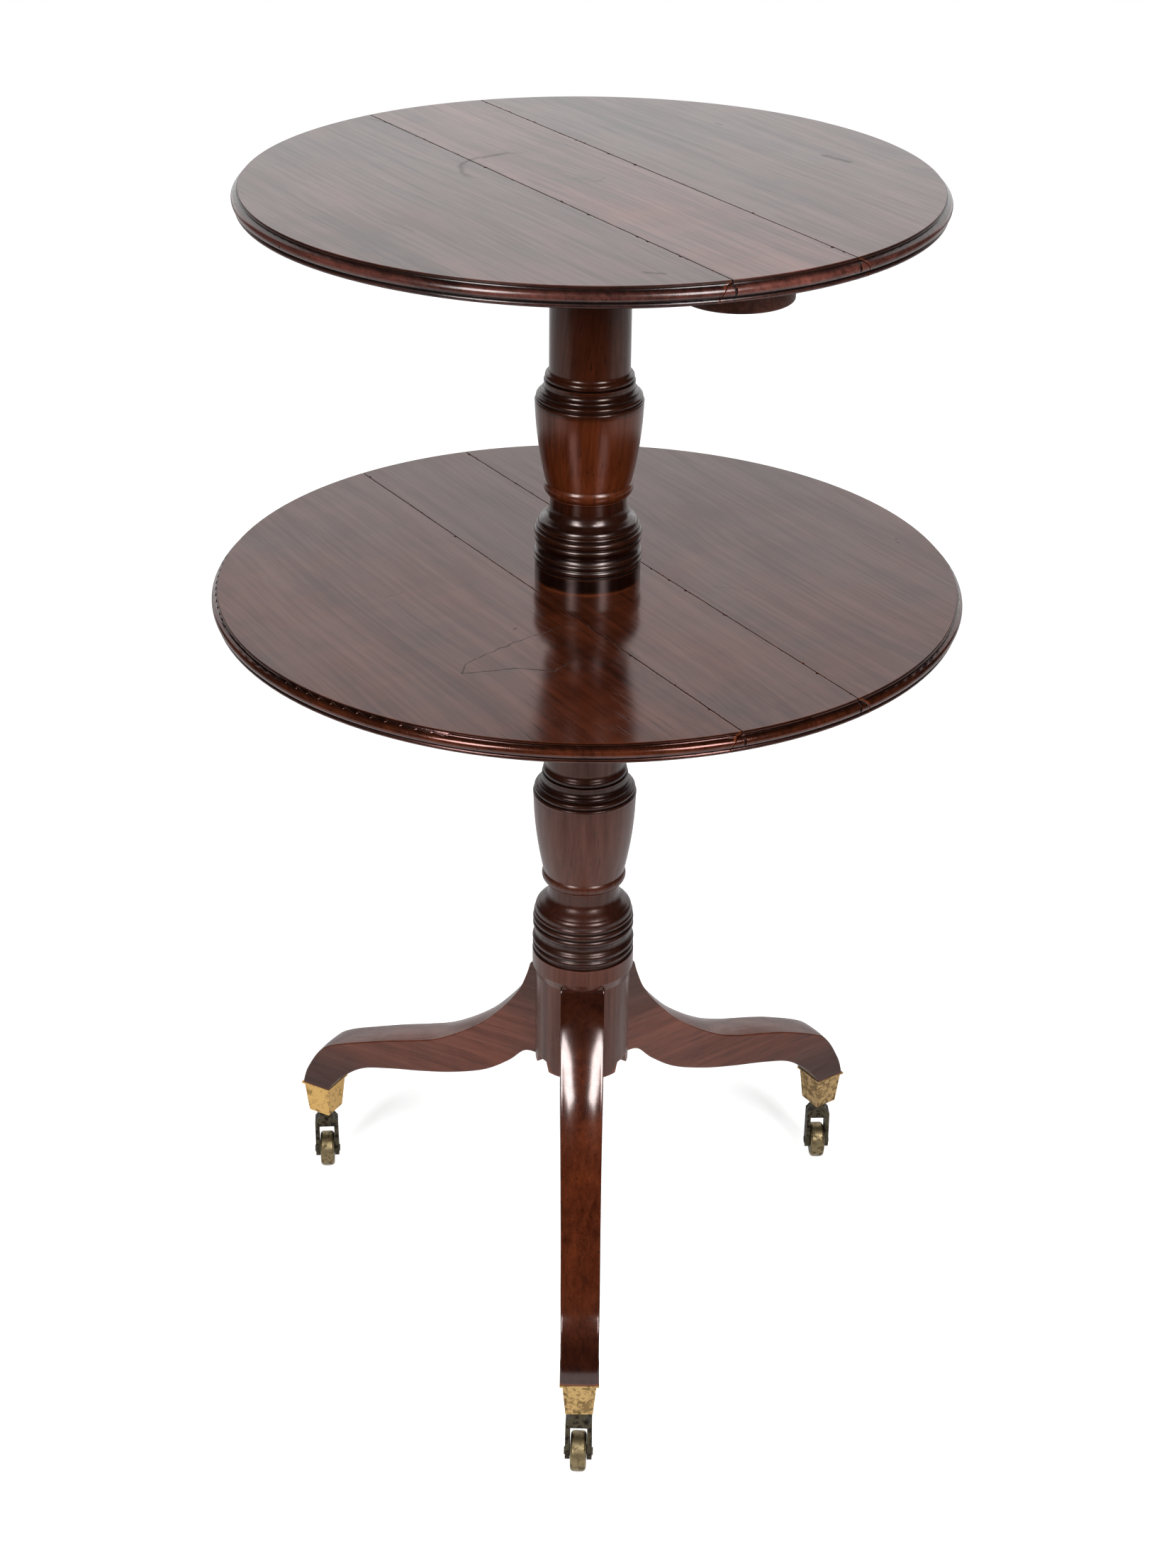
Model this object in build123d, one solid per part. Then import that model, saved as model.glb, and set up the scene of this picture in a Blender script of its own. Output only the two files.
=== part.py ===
from build123d import *
import os
from math import asin, degrees, sqrt

# A two-tier mahogany dumbwaiter table: a turned column in two lengths on three splayed legs
# with brass caps and castors. Each tier is a fixed plank with two drop leaves on rule joints,
# and a bearer under each tier turns on the column's spigot, in line with the plank to let the
# leaves down or across it to carry them. Millimetres, +Z up, the origin on the floor under the
# column's axis, the front towards -Y. At rest the leaves are up and the bearers lie in line.

# Overall sizes
table_height = 1000.0
lower_tier_height = 680.9
upper_tier_radius = 266.7
lower_tier_radius = 298.8
tier_thickness = 15.0
foot_radius = 279.5
hub_bottom = 219.6
leaf_joint_bearing = -57.8
leg_bearings = {"front": -89.7, "right": 34.6, "left": 151.2}

# Clearances and fits
running_fit = 0.1
fixed_fit = 0.05
slide_gap = 0.3
leaf_gap = 0.8
bearer_gap = 0.5
overrun = 5.0
same_point = 0.001

# Tier edge moulding, from the underside up: inset and height as shares of the thickness, then
# the arc's bulge. A small bead, a groove, a large bead, a cove and a quirk.
tier_edge_shares = [
    (0.253, 0, 0),
    (0.213, 0.233, 0.42),
    (0.147, 0.28, 0),
    (0.167, 0.76, 0.33),
    (0.273, 0.92, -0.2),
    (0.327, 0.92, 0),
    (0.34, 1, 0),
]

# Rule joints
leaf_joint_offset = 51.0
hinge_pin_height = 2.5
quirk_depth = 2.5

# Hinges
hinge_length = 32.0
hinge_pin_radius = 1.25
flap_thickness = 2.0
plank_flap_reach = 28.0
leaf_flap_reach = 45.0
upper_hinge_spread = 154.0
lower_hinge_spread = 178.0
hinge_screw_radius = 1.6
hinge_screw_head_radius = 3.2
hinge_screw_length = 10.0
screw_point_share = 0.7
screw_slot_width_share = 0.3
screw_slot_depth_share = 0.25
plank_screw_shares = [(-0.28, 0.36), (0.28, 0.72)]
leaf_screw_shares = [(0.28, 0.36), (-0.28, 0.62), (0.28, 0.86)]

# Spigots, bearers and washers
spigot_radius = 14.0
upper_mortise_depth = 10.0
lower_socket_depth = 25.0
bearer_width = 82.0
bearer_thickness = 22.0
upper_bearer_reach = 231.0
lower_bearer_reach = 244.0
bearer_rounding = 1.5
bearer_washer_radius = 26.0
bearer_washer_thickness = 1.5

# Lower column
hub_radius = 40.8
hub_height = 90.4
drum_radius = 43.6
lower_base_height = 63.3
lower_dome_radius = 41.2
lower_dome_height = 27.1
lower_ring_height = 10.9
lower_ring_radius = 35.6
lower_vase_height = 91.0
lower_vase_radius = 43.1
lower_collar_height = 7.6
lower_flare_height = 5.2
lower_shaft_radius = 32.9

# Upper column
upper_plinth_radius = 43.1
upper_base_height = 48.0
upper_dome_radius = 39.6
upper_dome_height = 23.7
upper_ring_height = 10.6
upper_ring_radius = 35.3
upper_vase_height = 80.6
upper_vase_radius = 42.5
upper_collar_height = 7.5
upper_flare_height = 4.0
upper_shaft_radius = 31.6

# Turnings: height and radius as shares of the section's own, then the arc's bulge.
# The drum over the hub, two beads, a cove, a bead, a torus and a small bead.
lower_base_shares = [
    (0, 0.938, 0),
    (0.125, 1, 0),
    (0.359, 1, 0),
    (0.362, 0.955, 0),
    (0.395, 0.955, 0),
    (0.401, 0.965, 0),
    (0.483, 0.965, 0.264),
    (0.49, 0.957, 0),
    (0.496, 0.965, 0),
    (0.59, 0.965, 0.26),
    (0.598, 0.975, 0),
    (0.719, 0.968, -0.17),
    (0.796, 0.965, 0.22),
    (0.8, 0.945, 0),
    (0.809, 0.945, 0),
    (0.814, 0.96, 0),
    (0.897, 0.955, 0.27),
    (0.9, 0.94, 0),
    (0.907, 0.94, 0),
    (0.912, 0.95, 0),
    (0.97, 0.95, 0.25),
    (0.976, 0.945, 0),
    (1, 0.945, 0),
]
# The plinth, a groove, two beads, a cove, a bead, a torus and a small bead.
upper_base_shares = [
    (0, 0.981, 0),
    (0.275, 0.981, 0),
    (0.28, 0.951, 0),
    (0.306, 0.951, 0),
    (0.31, 0.967, 0),
    (0.412, 0.967, 0.27),
    (0.418, 0.962, 0),
    (0.423, 0.967, 0),
    (0.519, 0.967, 0.28),
    (0.531, 0.979, 0),
    (0.673, 0.965, -0.19),
    (0.76, 0.965, 0.22),
    (0.765, 0.95, 0),
    (0.783, 0.95, 0),
    (0.787, 0.967, 0),
    (0.902, 0.958, 0.27),
    (0.906, 0.94, 0),
    (0.913, 0.94, 0),
    (0.917, 0.945, 0),
    (0.971, 0.94, 0.25),
    (0.977, 0.93, 0),
    (1, 0.93, 0),
]
# A dome that falls in to a neck.
lower_dome_shares = [
    (0, 1, 0),
    (0.196, 0.929, 0.13),
    (0.32, 0.845, 0.03),
    (0.432, 0.77, -0.03),
    (0.65, 0.734, -0.09),
    (1, 0.732, 0),
]
upper_dome_shares = [
    (0, 1, 0),
    (0.155, 0.919, 0.14),
    (0.27, 0.841, 0),
    (0.36, 0.806, -0.05),
    (0.58, 0.768, -0.05),
    (1, 0.758, 0),
]
# A half-round ring over a fillet.
ring_shares = [
    (0, 0.92, 0),
    (0.09, 0.92, 0),
    (0.12, 0.945, 0),
    (1, 0.955, 0.2),
]
# The vase with its quirk, bead and ogee.
vase_shares = [
    (0, 0.8, 0),
    (0.011, 0.805, 0),
    (0.77, 1, 0.024),
    (0.806, 1, 0),
    (0.836, 0.985, 0.2),
    (0.838, 0.96, 0),
    (0.844, 0.96, 0),
    (0.846, 0.969, 0),
    (0.896, 0.92, 0.3),
    (0.9, 0.905, 0),
    (0.94, 0.862, 0.15),
    (0.995, 0.836, -0.13),
    (1, 0.836, 0),
]
# A fillet and the collar over the vase.
collar_shares = [
    (0, 1.008, 0),
    (0.24, 1.008, 0),
    (0.27, 0.955, 0),
    (1, 0.955, 0.2),
]
# The foot of the plain shaft.
flare_shares = [
    (0, 1.045, 0),
    (1, 1, -0.12),
]

# Arches cut in the hub's lower edge between the legs
arch_foot_width = 20.0
arch_crown_width = 14.0
arch_height = 9.5
arch_floor_radius = 28.0

# Legs: run and rise shares of the upper and lower lines, from the hub out to the cap
leg_top_height = 313.2
leg_width = 38.6
leg_line_inset = 0.8
leg_arris = 0.8
leg_top_shares = [
    (0.004, 1),
    (0.02, 0.935),
    (0.055, 0.858),
    (0.11, 0.768),
    (0.2, 0.65),
    (0.3, 0.554),
    (0.4, 0.478),
    (0.5, 0.428),
    (0.65, 0.36),
    (0.843, 0.259),
]
leg_knee_shares = [
    (0.843, 0.259),
    (0.92, 0.194),
    (0.978, 0.083),
    (1, 0),
]
leg_under_shares = [
    (0.094, 0.4816),
    (0.194, 0.395),
    (0.33, 0.324),
    (0.468, 0.272),
    (0.61, 0.226),
    (0.7315, 0.175),
    (0.829, 0.083),
]
leg_under_start_share = 0.028
leg_plan_shares = [
    (-0.05, 1),
    (0.322, 0.912),
    (0.617, 0.862),
    (0.843, 0.835),
    (1, 0.8),
]

# Sliding dovetails that hold the legs in the hub
tongue_neck_width = 14.0
tongue_back_width = 20.0
tongue_depth = 14.6
tongue_height = 79.0
tongue_root = 3.0

# Brace plate under the hub
brace_thickness = 2.0
brace_disc_radius = 17.0
brace_arm_width = 15.0
brace_arm_reach = 47.0
brace_screw_radius = 1.9
brace_screw_head_radius = 3.6
brace_screw_length = 16.0
brace_screw_circles = [11.0, 33.0]

# Foot caps
cap_top_height = 97.2
cap_bottom_height = 63.8
cap_lip_width = 32.2
cap_lip_depth = 30.8
cap_lip_thickness = 1.6
cap_top_width = 27.8
cap_top_depth = 27.4
cap_bottom_width = 22.6
cap_bottom_depth = 22.0
cap_wall = 1.5
cap_floor = 2.0
cap_pin_radius = 1.2
cap_pin_length = 9.0
cap_pin_height = 87.5

# Castors
castor_bearings = {"front": -92.0, "right": -87.5, "left": -85.5}
wheel_radius = 16.6
wheel_width = 13.0
wheel_rounding = 3.0
wheel_boss_radius = 5.5
trail = 2.0
wheel_side_gap = 0.6
fork_shoulder_thickness = 3.75
fork_foot_thickness = 4.05
fork_neck_width = 11.5
fork_breadth = 13.0
fork_end_radius = 7.0
yoke_underside = 45.3
fork_shoulder_height = 49.9
fork_neck_height = 56.6
fork_washer_thickness = 1.5
fork_washer_radius = 7.0
stem_radius = 3.5
stem_length = 48.1
stem_head_radius = 5.0
stem_head_thickness = 2.5
axle_radius = 2.5
axle_head_radius = 3.3
axle_head_thickness = 0.8

# Worked out from the sizes above
hinge_pin_depth = tier_thickness - hinge_pin_height
ovolo_radius = hinge_pin_depth - quirk_depth
knuckle_room = hinge_pin_height + leaf_gap
hub_top = hub_bottom + hub_height
lower_bearer_top = lower_tier_height - tier_thickness - bearer_gap
upper_bearer_top = table_height - tier_thickness - bearer_gap
bearer_stack = bearer_thickness + bearer_washer_thickness
cap_lip_height = cap_top_height - cap_lip_thickness
foot_outer_radius = foot_radius + cap_lip_depth / 2 - leg_line_inset
foot_inner_radius = foot_radius - cap_lip_depth / 2 + leg_line_inset
leg_run = foot_outer_radius - hub_radius
leg_rise = leg_top_height - cap_top_height
fork_top = cap_bottom_height - fork_washer_thickness - slide_gap
fork_gap = wheel_width + 2 * wheel_side_gap
fork_shoulder_width = fork_gap + 2 * fork_shoulder_thickness
fork_foot_width = fork_gap + 2 * fork_foot_thickness


# Joins outline points by lines, or by arcs where a point's third value isn't 0. That value is
# the arc's height as a share of its chord, outwards from the axis where it is positive.
def outline(points):
    edges = []
    for (x0, z0, _), (x1, z1, bulge_share) in zip(points, points[1:]):
        start = Vector(x0, z0)
        end = Vector(x1, z1)
        if (end - start).length < same_point:
            continue
        if bulge_share == 0:
            edges.append(Line(start, end))
            continue
        outward = Vector(z1 - z0, x0 - x1) * (1 if z1 > z0 else -1)
        edges.append(ThreePointArc(start, (start + end) / 2 + outward * bulge_share, end))
    return edges


# Turns an outline, listed from the bottom up, about the Z axis.
def turned(points):
    bottom = points[0][1]
    top = points[-1][1]
    rim = [(0, bottom, 0)] + points + [(0, top, 0), (0, bottom, 0)]
    return revolve(Plane.XZ * make_face(outline(rim)), Axis.Z)


# Sets a table of turning shares to one section's foot, height and radius.
def section(shares, foot, height, radius):
    return [(radius * r, foot + height * z, bulge_share) for z, r, bulge_share in shares]


# A box from one corner to the opposite one.
def block(corner, opposite):
    low = [min(a, b) for a, b in zip(corner, opposite)]
    size = [abs(b - a) for a, b in zip(corner, opposite)]
    return Pos(*low) * Box(*size, align=(Align.MIN, Align.MIN, Align.MIN))


# A cylinder along X between two places.
def rod_x(radius, start, end):
    rod = Cylinder(radius, abs(end - start), align=(Align.CENTER, Align.CENTER, Align.MIN))
    return Pos(min(start, end), 0, 0) * Rot(0, 90, 0) * rod


# A cylinder along Z between two heights.
def rod_z(radius, bottom, top):
    return Pos(0, 0, bottom) * Cylinder(radius, top - bottom, align=(Align.CENTER, Align.CENTER, Align.MIN))


# A countersunk wood screw with its head at the origin and its point up. The blank has no slot,
# and is also the cutter for the hole that the screw fills.
def screw_blank(radius, head_radius, length):
    cone_end = head_radius - radius
    point_start = length * screw_point_share
    return turned([
        (head_radius, 0, 0),
        (radius, cone_end, 0),
        (radius, point_start, 0),
        (same_point, length, 0),
    ])


def wood_screw(radius, head_radius, length):
    half_slot = head_radius * screw_slot_width_share / 2
    slot_depth = head_radius * screw_slot_depth_share
    slot = block((-head_radius, -half_slot, -overrun), (head_radius, half_slot, slot_depth))
    return screw_blank(radius, head_radius, length) - slot


# One half of a hinge about its pin, which lies along X at the origin: a flap with knuckles.
def hinge_half(reach, knuckles, bore):
    flap_top = flap_thickness - hinge_pin_height
    half_length = hinge_length / 2
    half = block((-half_length, knuckle_room, -hinge_pin_height), (half_length, reach, flap_top))
    for start, end in knuckles:
        half += block((start, 0, -hinge_pin_height), (end, knuckle_room, flap_top))
        half += rod_x(hinge_pin_height, start, end)
    return half - rod_x(bore, -hinge_length, hinge_length)


# Screw places on a flap of one reach, in the hinge's frame.
def flap_places(shares, reach):
    return [Pos(hinge_length * x, reach * y, -hinge_pin_height) for x, y in shares]


# The pieces of one hinge and the wood they take out, with the leaf on the +Y side.
def hinge():
    half_length = hinge_length / 2
    half_knuckle = hinge_length / 6
    screw_sizes = (hinge_screw_radius, hinge_screw_head_radius, hinge_screw_length)
    plank_places = [Rot(0, 0, 180) * place for place in flap_places(plank_screw_shares, plank_flap_reach)]
    leaf_places = flap_places(leaf_screw_shares, leaf_flap_reach)
    plank_cutters = [place * screw_blank(*screw_sizes) for place in plank_places]
    leaf_cutters = [place * screw_blank(*screw_sizes) for place in leaf_places]
    outer_knuckles = [(-half_length, -half_knuckle - slide_gap), (half_knuckle + slide_gap, half_length)]
    plank_half = hinge_half(plank_flap_reach, outer_knuckles, hinge_pin_radius + fixed_fit)
    leaf_half = hinge_half(leaf_flap_reach, [(-half_knuckle, half_knuckle)], hinge_pin_radius + running_fit)
    flap_top = flap_thickness - hinge_pin_height
    room = half_length + leaf_gap
    swing_bed = block(
        (-room, -knuckle_room, -hinge_pin_height - overrun),
        (room, ovolo_radius + overrun, flap_top + leaf_gap),
    )
    swing_bed += rod_x(knuckle_room, -room, room)
    plank_bed = block((-half_length, -plank_flap_reach, -hinge_pin_height - overrun), (half_length, 0, flap_top))
    leaf_bed = block((-half_length, 0, -hinge_pin_height - overrun), (half_length, leaf_flap_reach, flap_top))
    for cutter in plank_cutters:
        plank_bed += cutter
    for cutter in leaf_cutters:
        leaf_bed += cutter
    return {
        "plank_flap": (Rot(0, 0, 180) * plank_half) - plank_cutters,
        "leaf_flap": leaf_half - leaf_cutters,
        "pin": rod_x(hinge_pin_radius, -half_length, half_length),
        "plank_screws": [place * wood_screw(*screw_sizes) for place in plank_places],
        "leaf_screws": [place * wood_screw(*screw_sizes) for place in leaf_places],
        "plank_cut": swing_bed + plank_bed,
        "leaf_cut": leaf_bed,
    }


# A whole moulded disc with its top face at Z 0.
def tier_disc(radius):
    points = []
    for inset_share, height_share, bulge_share in tier_edge_shares:
        height = tier_thickness * (height_share - 1)
        points.append((radius - tier_thickness * inset_share, height, bulge_share))
    return turned(points)


# The plank's half of the rule joint on the +Y side: a quirk and an ovolo about the hinge pin.
def plank_prism(length):
    fall = degrees(asin(hinge_pin_height / ovolo_radius))
    lip = leaf_joint_offset + sqrt(ovolo_radius**2 - hinge_pin_height**2)
    edges = [
        Line((0, 0), (leaf_joint_offset, 0)),
        Line((leaf_joint_offset, 0), (leaf_joint_offset, -quirk_depth)),
        CenterArc((leaf_joint_offset, -hinge_pin_depth), ovolo_radius, -fall, 90 + fall),
        Line((lip, -tier_thickness), (0, -tier_thickness)),
        Line((0, -tier_thickness), (0, 0)),
    ]
    return extrude(Plane.YZ * make_face(edges), length, both=True)


# The leaf's half: a hollow that rides round the ovolo with the leaf gap between them.
def leaf_prism(length):
    hollow_radius = ovolo_radius + leaf_gap
    brow = leaf_joint_offset + leaf_gap
    brow_foot = sqrt(hollow_radius**2 - leaf_gap**2) - hinge_pin_depth
    sweep = 90 - degrees(asin(leaf_gap / hollow_radius))
    heel = leaf_joint_offset + hollow_radius
    edges = [
        Line((brow, 0), (brow, brow_foot)),
        CenterArc((leaf_joint_offset, -hinge_pin_depth), hollow_radius, 0, sweep),
        Line((heel, -hinge_pin_depth), (heel, -tier_thickness)),
        Line((heel, -tier_thickness), (length, -tier_thickness)),
        Line((length, -tier_thickness), (length, 0)),
        Line((length, 0), (brow, 0)),
    ]
    return extrude(Plane.YZ * make_face(edges), length, both=True)


# One tier's plank, leaves and hinges, under names that start with the tier's own.
def tier(name, top, radius, hinge_spread, spigot_hole):
    place = Pos(0, 0, top) * Rot(0, 0, leaf_joint_bearing)
    disc = tier_disc(radius)
    length = radius + overrun
    hinge_parts = hinge()
    sides = {"right": Rot(0, 0, 0), "left": Rot(0, 0, 180)}
    seats = [Pos(x, leaf_joint_offset, -hinge_pin_depth) for x in (-hinge_spread, hinge_spread)]
    leaf = disc & leaf_prism(length)
    for seat in seats:
        leaf -= seat * hinge_parts["leaf_cut"]
    plank = disc & (plank_prism(length) + sides["left"] * plank_prism(length))
    pieces = {}
    plank_flaps = []
    plank_screws = []
    pins = []
    for side, turn in sides.items():
        pieces[f"{name}_{side}_leaf"] = turn * leaf
        pieces[f"{name}_{side}_leaf_hinge_flaps"] = [turn * seat * hinge_parts["leaf_flap"] for seat in seats]
        leaf_screws = [turn * seat * screw for seat in seats for screw in hinge_parts["leaf_screws"]]
        pieces[f"{name}_{side}_leaf_hinge_screws"] = leaf_screws
        for seat in seats:
            plank -= turn * seat * hinge_parts["plank_cut"]
            plank_flaps.append(turn * seat * hinge_parts["plank_flap"])
            plank_screws += [turn * seat * screw for screw in hinge_parts["plank_screws"]]
            pins.append(turn * seat * hinge_parts["pin"])
    pieces[f"{name}_plank"] = plank - rod_z(spigot_radius + fixed_fit, *spigot_hole)
    pieces[f"{name}_plank_hinge_flaps"] = plank_flaps
    pieces[f"{name}_plank_hinge_screws"] = plank_screws
    pieces[f"{name}_hinge_pins"] = pins
    placed = {}
    for key, piece in pieces.items():
        solids = piece if isinstance(piece, list) else [piece]
        placed[key] = [place * solid for solid in solids]
    return placed


# A bearer with round ends, in line with the plank, and the washer that it turns on.
def bearer(name, top, reach):
    bottom = top - bearer_thickness
    board = extrude(SlotOverall(2 * reach, bearer_width), bearer_thickness)
    board = fillet(board.faces().sort_by(Axis.Z)[0].edges(), bearer_rounding)
    board -= rod_z(spigot_radius + running_fit, -overrun, bearer_thickness + overrun)
    washer = rod_z(bearer_washer_radius, bottom - bearer_washer_thickness, bottom)
    washer -= rod_z(spigot_radius + running_fit, bottom - overrun, bottom + overrun)
    return {
        f"{name}_bearer": Pos(0, 0, bottom) * Rot(0, 0, leaf_joint_bearing) * board,
        f"{name}_bearer_washer": washer,
    }


# The turned sections that both columns share, from the dome up to the foot of the shaft.
def vase_stack(foot, dome, ring, vase, collar_height, flare_height, shaft_radius):
    points = []
    stages = [
        dome,
        (ring_shares, *ring),
        (vase_shares, *vase),
        (collar_shares, collar_height, ring[1]),
        (flare_shares, flare_height, shaft_radius),
    ]
    for shares, height, radius in stages:
        points += section(shares, foot, height, radius)
        foot += height
    return points


# The lower column before its slots and arches are cut, with the spigot on top.
def lower_column_blank():
    shoulder = lower_bearer_top - bearer_stack
    points = [(hub_radius, hub_bottom, 0)]
    points += section(lower_base_shares, hub_top, lower_base_height, drum_radius)
    points += vase_stack(
        hub_top + lower_base_height,
        (lower_dome_shares, lower_dome_height, lower_dome_radius),
        (lower_ring_height, lower_ring_radius),
        (lower_vase_height, lower_vase_radius),
        lower_collar_height,
        lower_flare_height,
        lower_shaft_radius,
    )
    points += [
        (lower_shaft_radius, shoulder, 0),
        (spigot_radius, shoulder, 0),
        (spigot_radius, lower_tier_height + lower_socket_depth, 0),
    ]
    return turned(points)


def upper_column():
    shoulder = upper_bearer_top - bearer_stack
    points = section(upper_base_shares, lower_tier_height, upper_base_height, upper_plinth_radius)
    points += vase_stack(
        lower_tier_height + upper_base_height,
        (upper_dome_shares, upper_dome_height, upper_dome_radius),
        (upper_ring_height, upper_ring_radius),
        (upper_vase_height, upper_vase_radius),
        upper_collar_height,
        upper_flare_height,
        upper_shaft_radius,
    )
    points += [
        (upper_shaft_radius, shoulder, 0),
        (spigot_radius, shoulder, 0),
        (spigot_radius, table_height - tier_thickness + upper_mortise_depth, 0),
    ]
    socket = rod_z(spigot_radius + fixed_fit, lower_tier_height - overrun, lower_tier_height + lower_socket_depth)
    return turned(points) - socket


# The dovetail tongue of a leg that runs out along +X, also the cutter for its slot.
def tongue(foot):
    back = hub_radius - tongue_depth
    root = hub_radius + tongue_root
    plan = Polyline(
        (back, -tongue_back_width / 2),
        (back, tongue_back_width / 2),
        (hub_radius, tongue_neck_width / 2),
        (root, tongue_neck_width / 2),
        (root, -tongue_neck_width / 2),
        (hub_radius, -tongue_neck_width / 2),
        close=True,
    )
    return Pos(0, 0, foot) * extrude(make_face(plan), hub_bottom + tongue_height - foot)


# A leg's outline point from its run and rise shares.
def leg_point(run_share, rise_share):
    return (hub_radius + leg_run * run_share, cap_top_height + leg_rise * rise_share)


# A cap's depth and width outside, at a height on its tapered body.
def cap_size(height):
    share = (height - cap_bottom_height) / (cap_lip_height - cap_bottom_height)
    depth = cap_bottom_depth + (cap_top_depth - cap_bottom_depth) * share
    width = cap_bottom_width + (cap_top_width - cap_bottom_width) * share
    return depth, width


# The tapered block that fills a cap, between two heights, inset by a wall.
def cap_block(bottom, top, wall):
    faces = []
    for height in (bottom, top):
        depth, width = cap_size(height)
        faces.append(Pos(foot_radius, 0, height) * Rectangle(depth - 2 * wall, width - 2 * wall))
    return loft(faces)


# The curved part of a leg that runs out along +X, before the column is cut from it.
def leg_blank():
    start_x = hub_radius - tongue_depth
    upper_line = [leg_point(*share) for share in leg_top_shares]
    knee_line = [leg_point(*share) for share in leg_knee_shares]
    heel = (foot_inner_radius, cap_top_height)
    under_start = (hub_radius + leg_run * leg_under_start_share, hub_bottom)
    under_line = [leg_point(*share) for share in leg_under_shares]
    edges = [
        Line((start_x, leg_top_height), upper_line[0]),
        Spline(*upper_line),
        Spline(*knee_line, tangents=[Spline(*upper_line) % 1, (0, -1)]),
        Line(knee_line[-1], heel),
        Spline(under_start, *under_line, heel),
        Line(under_start, (start_x, hub_bottom)),
        Line((start_x, hub_bottom), (start_x, leg_top_height)),
    ]
    side = extrude(Plane.XZ * make_face(edges), leg_width, both=True)
    half_width = [(hub_radius + leg_run * run, leg_width * share / 2) for run, share in leg_plan_shares]
    mirrored = [(x, -y) for x, y in half_width]
    plan = [
        Spline(*half_width),
        Line(half_width[-1], mirrored[-1]),
        Spline(*mirrored),
        Line(mirrored[0], half_width[0]),
    ]
    return side & extrude(make_face(plan), leg_top_height + overrun)


def leg(column_blank):
    body = leg_blank() - column_blank
    body = chamfer(long_arrises(body), leg_arris)
    tenon = cap_block(cap_bottom_height + cap_floor, cap_top_height, cap_wall)
    stem_top = yoke_underside + stem_length
    stem_hole = Pos(foot_radius, 0, 0) * rod_z(stem_radius + fixed_fit, cap_bottom_height, stem_top)
    return body + tongue(hub_bottom) + tenon - stem_hole


# The long edges of a leg's curved faces, which are slightly worn.
def long_arrises(body):
    return [edge for edge in body.edges().filter_by(GeomType.BSPLINE) if edge.length > leg_run / 6]


# A leg's brass cap, with a lip under the wood and hollow down to its floor, bored for the stem.
def foot_cap():
    shell = cap_block(cap_bottom_height, cap_lip_height, 0)
    lip = extrude(Rectangle(cap_lip_depth, cap_lip_width), cap_lip_thickness)
    shell += Pos(foot_radius, 0, cap_lip_height) * lip
    shell -= cap_block(cap_bottom_height + cap_floor, cap_top_height + same_point, cap_wall)
    return shell - Pos(foot_radius, 0, 0) * rod_z(stem_radius + fixed_fit, -overrun, cap_top_height)


# The pin through a cap's inner wall into the leg.
def cap_pin():
    head = foot_radius - cap_size(cap_pin_height)[0] / 2
    return Pos(0, 0, cap_pin_height) * rod_x(cap_pin_radius, head, head + cap_pin_length)


# One castor over the floor point under its stem, trailing towards +X.
def castor():
    half_foot = fork_foot_width / 2
    half_shoulder = fork_shoulder_width / 2
    half_neck = fork_neck_width / 2
    half_gap = fork_gap / 2
    right_side = [
        (half_neck, fork_top),
        (half_neck, fork_neck_height),
        (half_shoulder, fork_shoulder_height),
        (half_foot, 0),
        (half_gap, 0),
        (half_gap, yoke_underside),
    ]
    left_side = [(-x, z) for x, z in reversed(right_side)]
    front = extrude(Plane.YZ * make_face(Polyline(*right_side, *left_side, close=True)), fork_foot_width, both=True)
    arm_end = Pos(trail, wheel_radius) * Circle(fork_end_radius)
    yoke = Pos(0, (yoke_underside + fork_top) / 2) * Rectangle(fork_breadth, fork_top - yoke_underside)
    side = extrude(Plane.XZ * make_hull(arm_end.edges() + yoke.edges()), fork_foot_width, both=True)
    axle_place = Pos(trail, 0, wheel_radius) * Rot(0, 0, 90)
    head_room = stem_head_thickness + slide_gap
    fork = front & side
    fork -= rod_z(stem_radius + running_fit, 0, fork_top + overrun)
    fork -= rod_z(stem_head_radius + slide_gap, 0, yoke_underside + head_room)
    fork -= axle_place * rod_x(axle_radius + fixed_fit, -fork_foot_width, fork_foot_width)
    stem = rod_z(stem_radius, yoke_underside, yoke_underside + stem_length)
    stem += rod_z(stem_head_radius, yoke_underside, yoke_underside + stem_head_thickness)
    washer = rod_z(fork_washer_radius, cap_bottom_height - fork_washer_thickness, cap_bottom_height)
    washer -= rod_z(stem_radius + fixed_fit, 0, cap_top_height)
    arm_at_axle = half_shoulder + (half_foot - half_shoulder) * (1 - wheel_radius / fork_shoulder_height)
    head_face = arm_at_axle + axle_head_thickness
    axle = rod_x(axle_radius, -head_face, head_face)
    for end in (-1, 1):
        axle += rod_x(axle_head_radius, end * (half_foot + fixed_fit), end * (half_foot + axle_head_thickness))
    half_wheel = wheel_width / 2
    tread = rod_x(wheel_radius, -half_wheel, half_wheel)
    tread = fillet(tread.edges(), wheel_rounding)
    boss_face = half_gap - slide_gap
    wheel = tread + rod_x(wheel_boss_radius, -boss_face, boss_face)
    wheel -= rod_x(axle_radius + running_fit, -wheel_width, wheel_width)
    return {
        "fork": fork,
        "stem": stem,
        "washer": washer,
        "axle": axle_place * axle,
        "wheel": axle_place * wheel,
    }


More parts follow.
